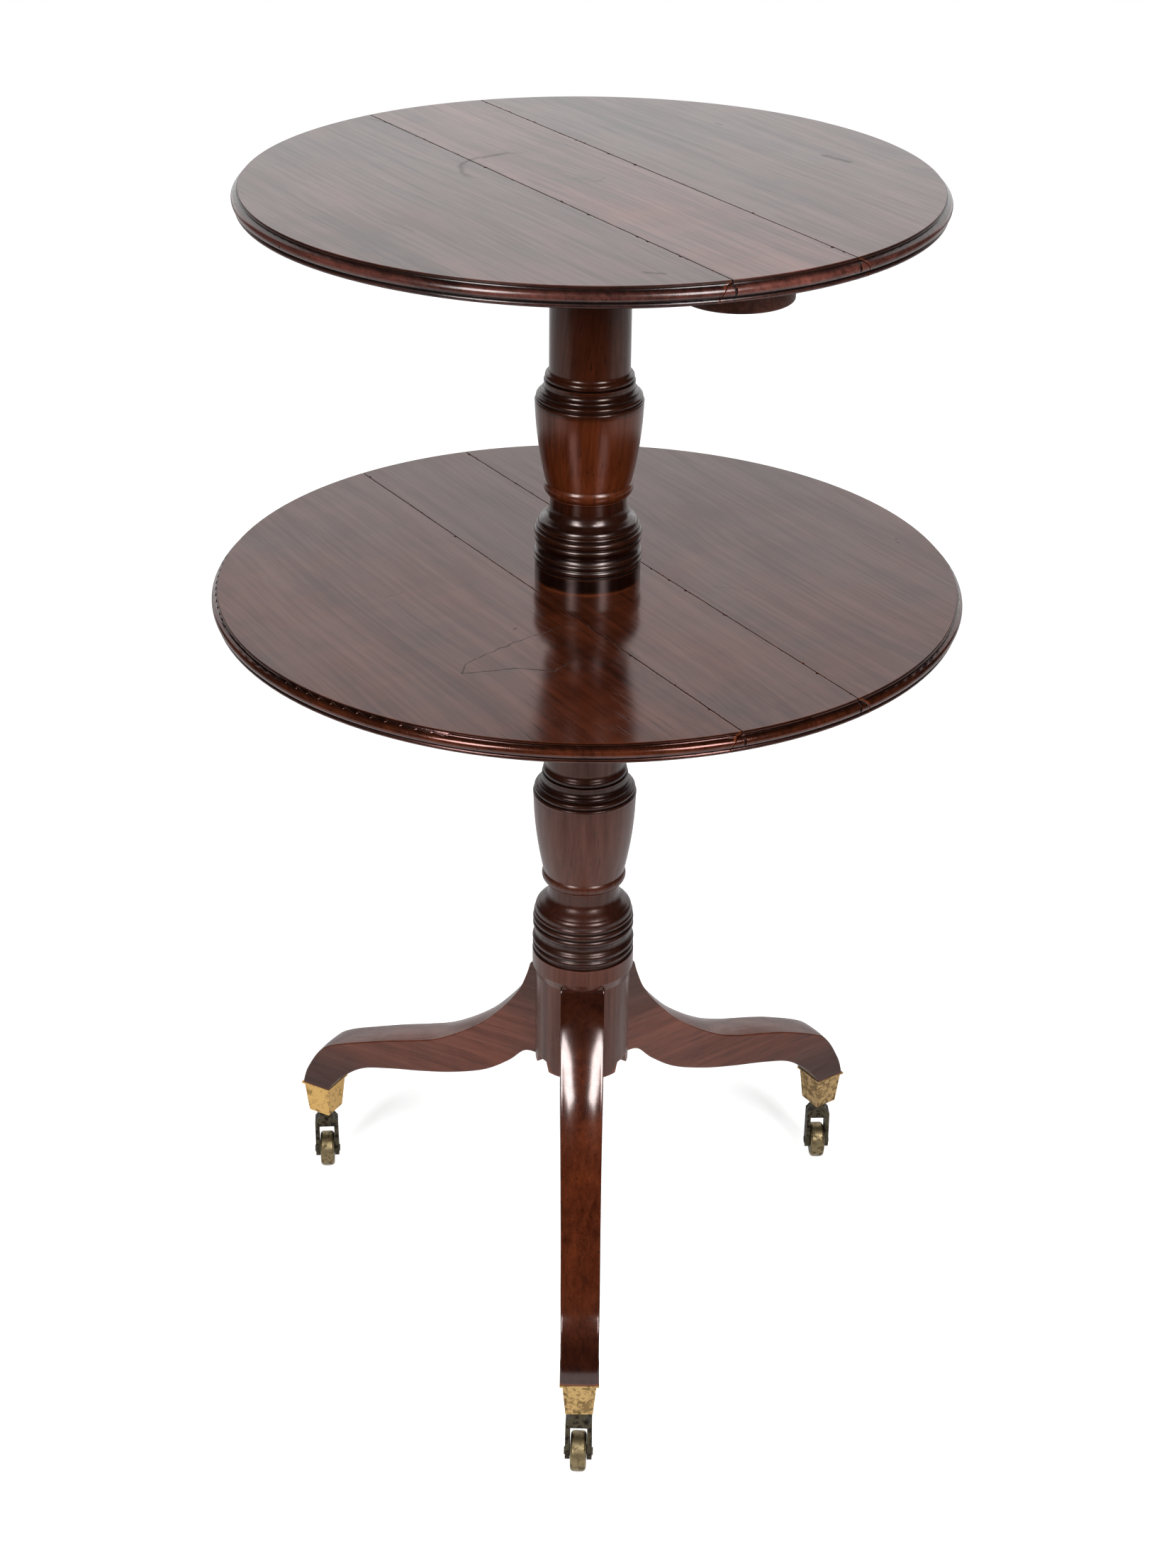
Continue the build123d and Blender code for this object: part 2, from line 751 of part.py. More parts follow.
# The plate under the hub with its screws, and the wood they take out.
def brace():
    top = hub_bottom
    face = Circle(brace_disc_radius)
    for bearing in leg_bearings.values():
        arm_length = brace_arm_reach + brace_arm_width / 2
        arm = Pos(brace_arm_reach - arm_length / 2, 0) * SlotOverall(arm_length, brace_arm_width)
        face += Rot(0, 0, bearing) * arm
    plate = Pos(0, 0, top - brace_thickness) * extrude(face, brace_thickness)
    sizes = (brace_screw_radius, brace_screw_head_radius, brace_screw_length)
    places = []
    for bearing in leg_bearings.values():
        for circle_radius in brace_screw_circles:
            places.append(Rot(0, 0, bearing) * Pos(circle_radius, 0, top - brace_thickness))
    cutters = [place * screw_blank(*sizes) for place in places]
    return plate - cutters, [place * wood_screw(*sizes) for place in places], cutters


# Cuts the dovetail slots and the three arches between the legs.
def lower_column(column_blank, screw_cutters):
    column = column_blank
    half_foot = arch_foot_width / 2
    half_crown = arch_crown_width / 2
    arch_face = make_face(Polyline(
        (-half_foot, -overrun),
        (-half_foot, 0),
        (-half_crown, arch_height),
        (half_crown, arch_height),
        (half_foot, 0),
        (half_foot, -overrun),
        close=True,
    ))
    arch = Pos(arch_floor_radius, 0, hub_bottom) * extrude(Plane.YZ * arch_face, hub_radius)
    for bearing in leg_bearings.values():
        column -= Rot(0, 0, bearing) * tongue(hub_bottom - overrun)
        column -= Rot(0, 0, bearing + 60) * arch
    return column - screw_cutters


# Every node of the table by its name, each a list of solids.
def table():
    nodes = {}
    column_blank = lower_column_blank()
    plate, brace_screws, brace_cutters = brace()
    nodes["lower_column"] = [lower_column(column_blank, brace_cutters)]
    nodes["upper_column"] = [upper_column()]
    nodes["hub_brace_plate"] = [plate]
    nodes["hub_brace_screws"] = brace_screws
    straight_leg = leg(column_blank)
    straight_cap = foot_cap()
    straight_pin = cap_pin()
    castor_parts = castor()
    nodes["cap_pins"] = []
    nodes["castor_washers"] = []
    for name, bearing in leg_bearings.items():
        turn = Rot(0, 0, bearing)
        foot = turn * Pos(foot_radius, 0, 0)
        castor_place = Pos(foot.position) * Rot(0, 0, castor_bearings[name])
        nodes[f"leg_{name}"] = [(turn * (straight_leg - straight_pin)) - brace_cutters]
        nodes[f"foot_cap_{name}"] = [turn * (straight_cap - straight_pin)]
        nodes["cap_pins"].append(turn * straight_pin)
        nodes["castor_washers"].append(castor_place * castor_parts["washer"])
        for part in ("stem", "fork", "axle", "wheel"):
            nodes[f"castor_{part}_{name}"] = [castor_place * castor_parts[part]]
    upper_mortise = (-tier_thickness - overrun, -tier_thickness + upper_mortise_depth)
    lower_hole = (-tier_thickness - overrun, overrun)
    nodes |= tier("upper", table_height, upper_tier_radius, upper_hinge_spread, upper_mortise)
    nodes |= tier("lower", lower_tier_height, lower_tier_radius, lower_hinge_spread, lower_hole)
    bearers = bearer("upper", upper_bearer_top, upper_bearer_reach)
    bearers |= bearer("lower", lower_bearer_top, lower_bearer_reach)
    for name, piece in bearers.items():
        nodes[name] = [piece]
    return nodes


os.makedirs("parts", exist_ok=True)
for node_name, shapes in table().items():
    solids = [solid for shape in shapes for solid in shape.solids()]
    node = solids[0] if len(solids) == 1 else Compound(children=solids)
    export_step(node, f"parts/{node_name}.step")
    print(node_name, len(solids))
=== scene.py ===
import bmesh
import bpy
from math import atan2, cos, pi, radians, sin, sqrt
from mathutils import Matrix, Vector


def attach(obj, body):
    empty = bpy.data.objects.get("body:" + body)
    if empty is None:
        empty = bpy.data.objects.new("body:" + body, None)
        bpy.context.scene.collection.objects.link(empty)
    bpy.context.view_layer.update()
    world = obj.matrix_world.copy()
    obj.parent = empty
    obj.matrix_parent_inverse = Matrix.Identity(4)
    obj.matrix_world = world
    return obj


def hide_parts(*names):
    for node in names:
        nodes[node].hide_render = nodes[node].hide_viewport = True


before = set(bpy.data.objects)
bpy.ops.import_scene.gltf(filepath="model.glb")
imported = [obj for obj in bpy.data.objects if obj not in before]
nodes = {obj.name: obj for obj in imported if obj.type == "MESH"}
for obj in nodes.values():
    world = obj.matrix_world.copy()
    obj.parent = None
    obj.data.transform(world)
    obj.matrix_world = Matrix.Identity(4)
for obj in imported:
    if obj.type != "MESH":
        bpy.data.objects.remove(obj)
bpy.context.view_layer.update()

# A two-tier mahogany dumbwaiter table. Metres, the floor at Z 0, the front towards -Y.
print("frame loaded:", len(nodes), "nodes")

view = {
    "place": (0.0, -1.8878, 1.5033),
    "lens": 58.82,      # millimetres, and so is the sensor's width
    "sensor": 36.0,
    "pan": 0.0014,      # radians
    "pitch": -0.4922,
    "roll": 0.0129,
}


def setCamera():
    camera = bpy.data.cameras.new("tableCamera")
    camera.lens = view["lens"]
    camera.sensor_width = view["sensor"]
    holder = bpy.data.objects.new("tableCamera", camera)
    turn = Matrix.Rotation(-view["pan"], 4, "Z")
    turn @= Matrix.Rotation(pi / 2 + view["pitch"], 4, "X")
    turn @= Matrix.Rotation(view["roll"], 4, "Z")
    holder.matrix_world = Matrix.Translation(view["place"]) @ turn
    bpy.context.scene.collection.objects.link(holder)
    bpy.context.scene.camera = holder


setCamera()
scene = bpy.context.scene
scene.view_settings.view_transform = "Standard"
print("camera set")

# Node helpers


def addNode(tree, kind, **settings):
    node = tree.nodes.new(kind)
    for name, value in settings.items():
        setattr(node, name, value)
    return node


# Sets a socket to a plain value, or links it where the value is another socket.
def feed(tree, socket, value):
    if isinstance(value, bpy.types.NodeSocket):
        tree.links.new(value, socket)
    else:
        socket.default_value = value


# Adds a node, feeds its inputs by name and gives its first output.
def nodeWith(tree, kind, values, **settings):
    node = addNode(tree, kind, **settings)
    for name, value in values.items():
        feed(tree, node.inputs[name], value)
    return node.outputs[0]


def math(tree, operation, *values, clamp=False):
    node = addNode(tree, "ShaderNodeMath", operation=operation, use_clamp=clamp)
    for socket, value in zip(node.inputs, values):
        feed(tree, socket, value)
    return node.outputs[0]


def plus(tree, one, two):
    return math(tree, "ADD", one, two)


def minus(tree, one, two):
    return math(tree, "SUBTRACT", one, two)


def times(tree, one, two):
    return math(tree, "MULTIPLY", one, two)


# One value times another, and a third added.
def timesPlus(tree, one, two, added):
    return math(tree, "MULTIPLY_ADD", one, two, added)


# How far a noise is from its middle.
def swing(tree, value):
    return minus(tree, value, 0.5)


def larger(tree, values):
    total = values[0]
    for value in values[1:]:
        total = math(tree, "MAXIMUM", total, value)
    return total


def vectorMath(tree, operation, *values):
    node = addNode(tree, "ShaderNodeVectorMath", operation=operation)
    for socket, value in zip(node.inputs, values):
        feed(tree, socket, value)
    return node.outputs["Value"] if operation in ("LENGTH", "DOT_PRODUCT") else node.outputs[0]


def vector(tree, x=0.0, y=0.0, z=0.0):
    return nodeWith(tree, "ShaderNodeCombineXYZ", {"X": x, "Y": y, "Z": z})


def heightOf(tree, place):
    node = addNode(tree, "ShaderNodeSeparateXYZ")
    feed(tree, node.inputs[0], place)
    return node.outputs["Z"]


# A place with its height left out.
def inPlan(tree, place):
    return vectorMath(tree, "MULTIPLY", place, (1, 1, 0))


# Takes a value from one range to another, clamped, with smooth ends.
def remap(tree, value, low, high, toLow=0.0, toHigh=1.0):
    values = {"Value": value, "From Min": low, "From Max": high, "To Min": toLow, "To Max": toHigh}
    return nodeWith(tree, "ShaderNodeMapRange", values, interpolation_type="SMOOTHSTEP")


def noise(tree, place, scale, detail=3.0, roughness=0.5, distortion=0.0):
    values = {"Vector": place, "Scale": scale, "Detail": detail, "Roughness": roughness,
              "Distortion": distortion}
    return nodeWith(tree, "ShaderNodeTexNoise", values, noise_dimensions="3D")


def stretch(tree, place, scale=(1, 1, 1), turn=(0, 0, 0), shift=(0, 0, 0)):
    values = {"Vector": place, "Scale": scale, "Rotation": turn, "Location": shift}
    return nodeWith(tree, "ShaderNodeMapping", values, vector_type="POINT")


def mixColour(tree, share, low, high, blend="MIX"):
    node = addNode(tree, "ShaderNodeMix", data_type="RGBA", blend_type=blend)
    feed(tree, node.inputs[0], share)
    feed(tree, node.inputs[6], low)
    feed(tree, node.inputs[7], high)
    return node.outputs[2]


def ramp(tree, value, stops):
    node = addNode(tree, "ShaderNodeValToRGB")
    entries = node.color_ramp.elements
    while len(entries) < len(stops):
        entries.new(0.5)
    for entry, (place, colour) in zip(entries, stops):
        entry.position = place
        entry.color = (*colour, 1.0)
    feed(tree, node.inputs[0], value)
    return node.outputs[0]


# A ramp of greys from pairs of place and value.
def greyRamp(tree, value, stops):
    return ramp(tree, value, [(place, (grey,) * 3) for place, grey in stops])


# Starts a shader node group. An input with no value is a vector, and the rest are numbers.
def newGroup(name, inputs, outputs):
    tree = bpy.data.node_groups.new(name, "ShaderNodeTree")
    for label, value in inputs.items():
        kind = "NodeSocketVector" if value is None else "NodeSocketFloat"
        socket = tree.interface.new_socket(label, in_out="INPUT", socket_type=kind)
        if value is not None:
            socket.default_value = value
    for label in outputs:
        tree.interface.new_socket(label, in_out="OUTPUT", socket_type="NodeSocketFloat")
    return tree, addNode(tree, "NodeGroupInput").outputs, addNode(tree, "NodeGroupOutput").inputs


def useGroup(tree, group, **values):
    node = addNode(tree, "ShaderNodeGroup", node_tree=group)
    for name, value in values.items():
        feed(tree, node.inputs[name], value)
    return node.outputs


# Shared effects. Each noise is given by its detail, roughness and distortion.

figureForm = {
    # how each part of the figure is drawn out, with the grain along X, and its noise
    "wander": ((1.5, 4.0, 4.0), (2.0,)),
    "streak": ((0.05, 1.0, 1.0), (4.0, 0.62, 0.3)),
    "line": ((0.03, 1.0, 1.0), (3.0, 0.6)),
    "pore": ((0.035, 1.0, 1.0), (1.0, 0.5)),
    "cloud": ((7.0, 16.0, 16.0), (4.0, 0.6)),
    "ribbon": ((34.0, 7.0, 7.0), (2.0, 0.6, 0.4)),
    "wandering": 0.05,           # how far the grain strays from straight
    "poreEdges": (0.62, 0.72),
}


# Long streaks, fine grain lines, pores, cloudy patches and a ripple across the grain.
def makeMahoganyFigure():
    tree, given, result = newGroup(
        "mahoganyFigure",
        {"Vector": None, "Streaks": 30.0, "Lines": 260.0, "Pores": 900.0},
        ("Streak", "Line", "Pore", "Cloud", "Ribbon"),
    )

    def drawn(part, place, scale=1.0):
        scales, grade = figureForm[part]
        return noise(tree, stretch(tree, place, scales), scale, *grade)

    place = given["Vector"]
    wander = times(tree, swing(tree, drawn("wander", place)), figureForm["wandering"])
    bent = vectorMath(tree, "ADD", place, vector(tree, 0.0, wander, wander))
    feed(tree, result["Streak"], drawn("streak", bent, given["Streaks"]))
    feed(tree, result["Line"], drawn("line", bent, given["Lines"]))
    feed(tree, result["Pore"], remap(tree, drawn("pore", bent, given["Pores"]), *figureForm["poreEdges"]))
    feed(tree, result["Cloud"], drawn("cloud", place))
    feed(tree, result["Ribbon"], drawn("ribbon", bent))
    return tree


handlingForm = {
    "scratches": [(0.35, 130.0), (1.9, 170.0), (2.7, 150.0)],     # bearing in radians, and density
    "drawn": (0.05, 1.0, 1.0),
    "scratch": (1.0, 0.4),
    "scratchEdges": (0.7, 0.76),
    "patchScale": 9.0,
    "patch": (2.0,),
    "patchEdges": (0.52, 0.66),
    "smudgeScale": 7.0,
    "smudge": (3.0, 0.6, 0.8),
}


# Patches of fine straight scratches in several directions, and soft smudges.
def makeHandling():
    form = handlingForm
    tree, given, result = newGroup("handling", {"Vector": None, "Amount": 0.5}, ("Scratch", "Smudge"))
    place = given["Vector"]
    scratches = []
    for bearing, density in form["scratches"]:
        turn = (0, 0, bearing)
        scratch = noise(tree, stretch(tree, place, form["drawn"], turn), density, *form["scratch"])
        patch = noise(tree, stretch(tree, place, turn=turn), form["patchScale"], *form["patch"])
        scratch = remap(tree, scratch, *form["scratchEdges"])
        scratches.append(times(tree, scratch, remap(tree, patch, *form["patchEdges"])))
    feed(tree, result["Scratch"], times(tree, larger(tree, scratches), given["Amount"]))
    feed(tree, result["Smudge"], noise(tree, place, form["smudgeScale"], *form["smudge"]))
    return tree


hollowForm = {
    "samples": 8,
    "ragged": (60.0, 3.0),       # scale and detail of the uneven edge, and its share
    "raggedShare": 0.3,
    "hollowEdges": (0.95, 0.45),
    "crestEdges": (0.8, 0.35),
    "crestReach": 0.5,           # against a hollow's
}


# Old wax and dirt that stays in the hollows, and rubbed crests. On the woods the hollows also
# hold painted shade and the crests a painted highlight.
def makeHollows():
    form = hollowForm
    tree, given, result = newGroup("hollowsAndCrests", {"Vector": None, "Reach": 0.004}, ("Hollow", "Crest"))
    ragged = times(tree, swing(tree, noise(tree, given["Vector"], *form["ragged"])), form["raggedShare"])
    hollow = addNode(tree, "ShaderNodeAmbientOcclusion", samples=form["samples"], only_local=True)
    feed(tree, hollow.inputs["Distance"], given["Reach"])
    crest = addNode(tree, "ShaderNodeAmbientOcclusion", samples=form["samples"], only_local=True, inside=True)
    feed(tree, crest.inputs["Distance"], times(tree, given["Reach"], form["crestReach"]))
    for label, shade, edges in (("Hollow", hollow, "hollowEdges"), ("Crest", crest, "crestEdges")):
        feed(tree, result[label], remap(tree, plus(tree, shade.outputs["AO"], ragged), *form[edges]))
    return tree


patinaForm = {
    "blotch": (5.0, 0.65, 0.5),
    "speck": (2.0, 0.6),
    "speckEdges": (0.6, 0.72),
    "rubDrawn": (1.0, 1.0, 0.12),
    "rubScale": 700.0,
    "rub": (2.0, 0.6),
}


# Blotches, specks and a streaky rub on old metal.
def makePatina():
    form = patinaForm
    tree, given, result = newGroup(
        "patina", {"Vector": None, "Blotches": 190.0, "Specks": 900.0}, ("Blotch", "Speck", "Rub"))
    place = given["Vector"]
    feed(tree, result["Blotch"], noise(tree, place, given["Blotches"], *form["blotch"]))
    speck = noise(tree, place, given["Specks"], *form["speck"])
    feed(tree, result["Speck"], remap(tree, speck, *form["speckEdges"]))
    rub = noise(tree, stretch(tree, place, form["rubDrawn"]), form["rubScale"], *form["rub"])
    feed(tree, result["Rub"], rub)
    return tree


strokeForm = {
    "waver": (90.0, 2.0),        # scale and detail
    "wavering": 0.004,
    "breaks": (170.0, 2.0),
    "breakEdges": (0.3, 0.45, 0.35, 1.0),
    "core": 0.3,                 # the share of the half width at full strength
}


# A thin line between two places in plan, a little wavering: a crack or a deep scratch.
def makeStroke():
    form = strokeForm
    tree, given, result = newGroup(
        "stroke", {"Vector": None, "Start": None, "End": None, "Half Width": 0.0005}, ("Mask",))
    waver = swing(tree, noise(tree, given["Vector"], *form["waver"]))
    shift = vector(tree, times(tree, waver, form["wavering"]), times(tree, waver, -form["wavering"]))
    place = inPlan(tree, vectorMath(tree, "ADD", given["Vector"], shift))
    run = vectorMath(tree, "SUBTRACT", given["End"], given["Start"])
    reach = vectorMath(tree, "SUBTRACT", place, given["Start"])
    reached = vectorMath(tree, "DOT_PRODUCT", reach, run)
    share = math(tree, "DIVIDE", reached, vectorMath(tree, "DOT_PRODUCT", run, run), clamp=True)
    nearest = nodeWith(tree, "ShaderNodeVectorMath", {"Vector": run, "Scale": share}, operation="SCALE")
    gap = vectorMath(tree, "LENGTH", vectorMath(tree, "SUBTRACT", reach, nearest))
    line = remap(tree, gap, times(tree, given["Half Width"], form["core"]), given["Half Width"], 1.0, 0.0)
    breaks = remap(tree, noise(tree, given["Vector"], *form["breaks"]), *form["breakEdges"])
    feed(tree, result["Mask"], times(tree, line, breaks))
    return tree


ringForm = {
    "ragged": (70.0, 3.0),       # scale and detail
    "raggedBy": 0.012,
    "facingEdges": (0.1, 0.8),
}


# Part of a ring in plan, left by something wet, strongest towards one direction.
def makeRing():
    form = ringForm
    tree, given, result = newGroup(
        "ring", {"Vector": None, "Centre": None, "Radius": 0.04, "Half Width": 0.002, "Towards": None},
        ("Mask",))
    place = vectorMath(tree, "SUBTRACT", inPlan(tree, given["Vector"]), given["Centre"])
    ragged = times(tree, swing(tree, noise(tree, given["Vector"], *form["ragged"])), form["raggedBy"])
    gap = plus(tree, minus(tree, vectorMath(tree, "LENGTH", place), given["Radius"]), ragged)
    line = remap(tree, math(tree, "ABSOLUTE", gap), 0.0, given["Half Width"], 1.0, 0.0)
    facing = vectorMath(tree, "DOT_PRODUCT", vectorMath(tree, "NORMALIZE", place), given["Towards"])
    feed(tree, result["Mask"], times(tree, line, remap(tree, facing, *form["facingEdges"])))
    return tree


mahoganyFigure = makeMahoganyFigure()
handling = makeHandling()
hollows = makeHollows()
patina = makePatina()
stroke = makeStroke()
ring = makeRing()
print("shader groups built")

# Materials


def newMaterial(name):
    material = bpy.data.materials.new(name)
    material.use_nodes = True
    tree = material.node_tree
    shader = tree.nodes["Principled BSDF"]
    place = addNode(tree, "ShaderNodeTexCoord").outputs["Object"]
    return material, tree, shader, place


def addBump(tree, shader, height, strength, distance):
    bump = addNode(tree, "ShaderNodeBump")
    feed(tree, bump.inputs["Height"], height)
    bump.inputs["Strength"].default_value = strength
    bump.inputs["Distance"].default_value = distance
    tree.links.new(bump.outputs[0], shader.inputs["Normal"])


# "dark" and "light" are the ends of the figure, "spread" is how much of it they take in, and
# "ribbon" how strong the ripple across it is. "bend" is the index of refraction, "sheen" tints
# what the wood mirrors, and "polish" is the least and most of the clear polish over it. "crest"
# is how far rubbed edges lighten, with a painted highlight, and "reach" how far old wax and
# painted shade spread out of a hollow.
woods = {
    "upperTier": {
        "dark": (0.018, 0.006, 0.0045), "light": (0.08, 0.025, 0.0185), "spread": (0.38, 0.62),
        "streaks": 36.0, "ribbon": 0.15, "roughness": 0.2, "bend": 1.3, "sheen": (1.0, 0.93, 0.93),
        "polish": (0.26, 0.42), "crest": 0.35, "reach": 0.004},
    "lowerTier": {
        "dark": (0.01, 0.0024, 0.001), "light": (0.05, 0.0115, 0.0043), "spread": (0.38, 0.62),
        "streaks": 40.0, "ribbon": 0.25, "roughness": 0.14, "bend": 1.5, "sheen": (1.0, 0.47, 0.42),
        "polish": (0.08, 0.24), "crest": 0.45, "reach": 0.004},
    "upperColumn": {
        "dark": (0.033, 0.0056, 0.0015), "light": (0.11, 0.0235, 0.0062), "spread": (0.34, 0.66),
        "streaks": 70.0, "ribbon": 0.1, "roughness": 0.23, "bend": 1.3, "sheen": (1.0, 0.6, 0.52),
        "polish": (0.4, 0.7), "crest": 0.6, "reach": 0.012},
    "lowerColumn": {
        "dark": (0.026, 0.0056, 0.0023), "light": (0.072, 0.017, 0.0072), "spread": (0.36, 0.64),
        "streaks": 70.0, "ribbon": 0.1, "roughness": 0.27, "bend": 1.3, "sheen": (1.0, 0.5, 0.42),
        "polish": (0.28, 0.52), "crest": 0.6, "reach": 0.012},
    "frontLeg": {
        "dark": (0.024, 0.0044, 0.0016), "light": (0.092, 0.019, 0.006), "spread": (0.36, 0.64),
        "streaks": 60.0, "ribbon": 0.35, "roughness": 0.16, "bend": 1.3, "sheen": (1.0, 0.55, 0.48),
        "polish": (0.8, 1.0), "crest": 0.7, "reach": 0.005},
    "leg": {
        "dark": (0.052, 0.012, 0.0055), "light": (0.12, 0.029, 0.013), "spread": (0.36, 0.64),
        "streaks": 60.0, "ribbon": 0.12, "roughness": 0.27, "bend": 1.3, "sheen": (1.0, 0.6, 0.55),
        "polish": (0.3, 0.5), "crest": 0.8, "reach": 0.006},
    "bearer": {
        "dark": (0.02, 0.006, 0.0035), "light": (0.07, 0.02, 0.012), "spread": (0.4, 0.6),
        "streaks": 40.0, "ribbon": 0.1, "roughness": 0.45, "bend": 1.3, "sheen": (1.0, 0.8, 0.75),
        "polish": (0.0, 0.2), "crest": 0.3, "reach": 0.004},
}
oldWaxAndShade = (0.0026, 0.0013, 0.0009, 1)
rubbedEdgeAndHighlight = (0.17, 0.04, 0.013, 1)

# What all the woods share.
woodMix = {
    "figure": (("Streak", 0.3), ("Line", 0.35), ("Cloud", 0.35)),
    "pores": 0.6,                # how dark old wax makes them
    "wax": 0.95,                 # and the hollows, where it is old wax and painted shade
    "handling": 0.6,
    "rougher": {"Smudge": 0.16, "Scratch": 0.15, "Hollow": 0.25},
    "lines": 0.4,                # how far the grain lines stand up, against the pores' depth
    "relief": (0.12, 0.0002),    # the bump's strength and distance
    "polishFigure": (0.3, 0.4),  # shares of the streaks and smudges, and of the lines, in the polish
    "polishSpread": (0.40, 0.60),
}
# A board's unpolished underside: how far below the top it starts and is full, and its looks.
underside = {"edges": (0.01495, 0.0146), "rougher": 0.35, "share": 0.6, "colour": (0.030, 0.011, 0.006, 1)}
# Old wax in a worn joint, and a mark: how dark, how much rougher and how deep.
wornJoint = {"halfWidth": 0.0012, "wax": 0.9, "rougher": 0.35, "depth": 1.5}
markForm = {"rougher": 0.4, "depth": 3.0}

# Marks on the tiers in plan: lines from one place to another with their half widths, and rings
# with their centres, radii, half widths and the directions that they are strongest in.
tiers = {
    "upper": {
        "top": 1.0, "radius": 0.2667, "markStrength": 0.45,
        "lines": [
            ((-0.179, 0.1765), (-0.16, 0.16), 0.0014),
            ((0.244, 0.0455), (0.26, 0.0385), 0.0012),
            ((0.178, 0.079), (0.196, 0.06), 0.004),
            ((-0.083, 0.059), (-0.066, 0.074), 0.0036),
            ((-0.015, 0.005), (0.008, -0.005), 0.0008),
            ((0.035, -0.231), (0.048, -0.233), 0.003),
            ((0.098, 0.1755), (0.103, 0.1715), 0.0016),
            ((-0.148, -0.115), (-0.124, -0.14), 0.0007),
        ],
        "rings": [
            ((-0.056, 0.03), 0.043, 0.004, (-0.94, 0.34)),
            ((-0.0029, 0.008), 0.013, 0.0012, (0.3, -0.95)),
        ],
    },
    "lower": {
        "top": 0.6809, "radius": 0.2988, "markStrength": 0.8,
        "lines": [
            ((-0.0917, -0.1848), (-0.09, -0.17), 0.0011),
            ((-0.09, -0.17), (-0.0808, -0.1564), 0.0011),
            ((-0.0808, -0.1564), (-0.0571, -0.1317), 0.0011),
            ((-0.0571, -0.1317), (-0.0164, -0.0959), 0.0008),
            ((-0.0917, -0.1848), (-0.0718, -0.1797), 0.0011),
            ((-0.0718, -0.1797), (-0.0518, -0.1743), 0.0011),
            ((-0.0518, -0.1743), (-0.0234, -0.1782), 0.001),
            ((-0.0234, -0.1782), (-0.0075, -0.1543), 0.0009),
            ((-0.056, -0.105), (-0.0548, -0.103), 0.0017),
            ((0.2553, 0.082), (0.2563, 0.081), 0.0016),
            ((0.256, 0.0748), (0.257, 0.0738), 0.0014),
            ((-0.158, -0.0488), (-0.144, -0.039), 0.0007),
            ((0.1, -0.02), (0.135, -0.026), 0.0005),
        ],
        "rings": [],
    },
}
tierThickness = 0.015
leafJointBearing = radians(-57.8)
jointOffset = 0.0514             # from the axis to the middle of a joint's gap

# Painted light and shade on a rim, from the underside up: a dull bead, a groove in painted shade,
# a bead with painted light and a cove in painted shade.
rimPaintedLight = [(0.0, 0.45), (0.2, 0.45), (0.235, 0.12), (0.28, 0.25), (0.34, 0.5), (0.5, 1.15),
            (0.68, 0.95), (0.77, 0.3), (0.83, 0.12), (0.93, 0.12), (0.96, 0.6), (0.985, 1.0)]


# Both leaf joints of a tier, from rim to rim.
def jointLines(radius):
    half = sqrt(radius**2 - jointOffset**2)
    along = Vector((cos(leafJointBearing), sin(leafJointBearing)))
    across = Vector((-along.y, along.x))
    middles = [across * side for side in (-jointOffset, jointOffset)]
    return [(middle - along * half, middle + along * half) for middle in middles]


def strokeMask(tree, place, start, end, half):
    values = {"Vector": place, "Start": (*start, 0), "End": (*end, 0), "Half Width": half}
    return useGroup(tree, stroke, **values)["Mask"]


def ringMask(tree, place, centre, radius, half, towards):
    values = {"Vector": place, "Centre": (*centre, 0), "Radius": radius, "Half Width": half,
              "Towards": (*towards, 0)}
    return useGroup(tree, ring, **values)["Mask"]


# Darkens the leaf joints, then the marks, and gives the new colour, roughness and relief.
def addMarks(tree, place, tier, colour, rough, relief):
    ends = jointLines(tier["radius"])
    worn = larger(tree, [strokeMask(tree, place, *pair, wornJoint["halfWidth"]) for pair in ends])
    masks = [strokeMask(tree, place, *line) for line in tier["lines"]]
    masks += [ringMask(tree, place, *entry) for entry in tier["rings"]]
    mark = times(tree, larger(tree, masks), tier["markStrength"])
    colour = mixColour(tree, times(tree, worn, wornJoint["wax"]), colour, oldWaxAndShade)
    colour = mixColour(tree, mark, colour, oldWaxAndShade)
    for mask, form in ((worn, wornJoint), (mark, markForm)):
        rough = timesPlus(tree, mask, form["rougher"], rough)
        relief = minus(tree, relief, times(tree, mask, form["depth"]))
    return colour, rough, relief
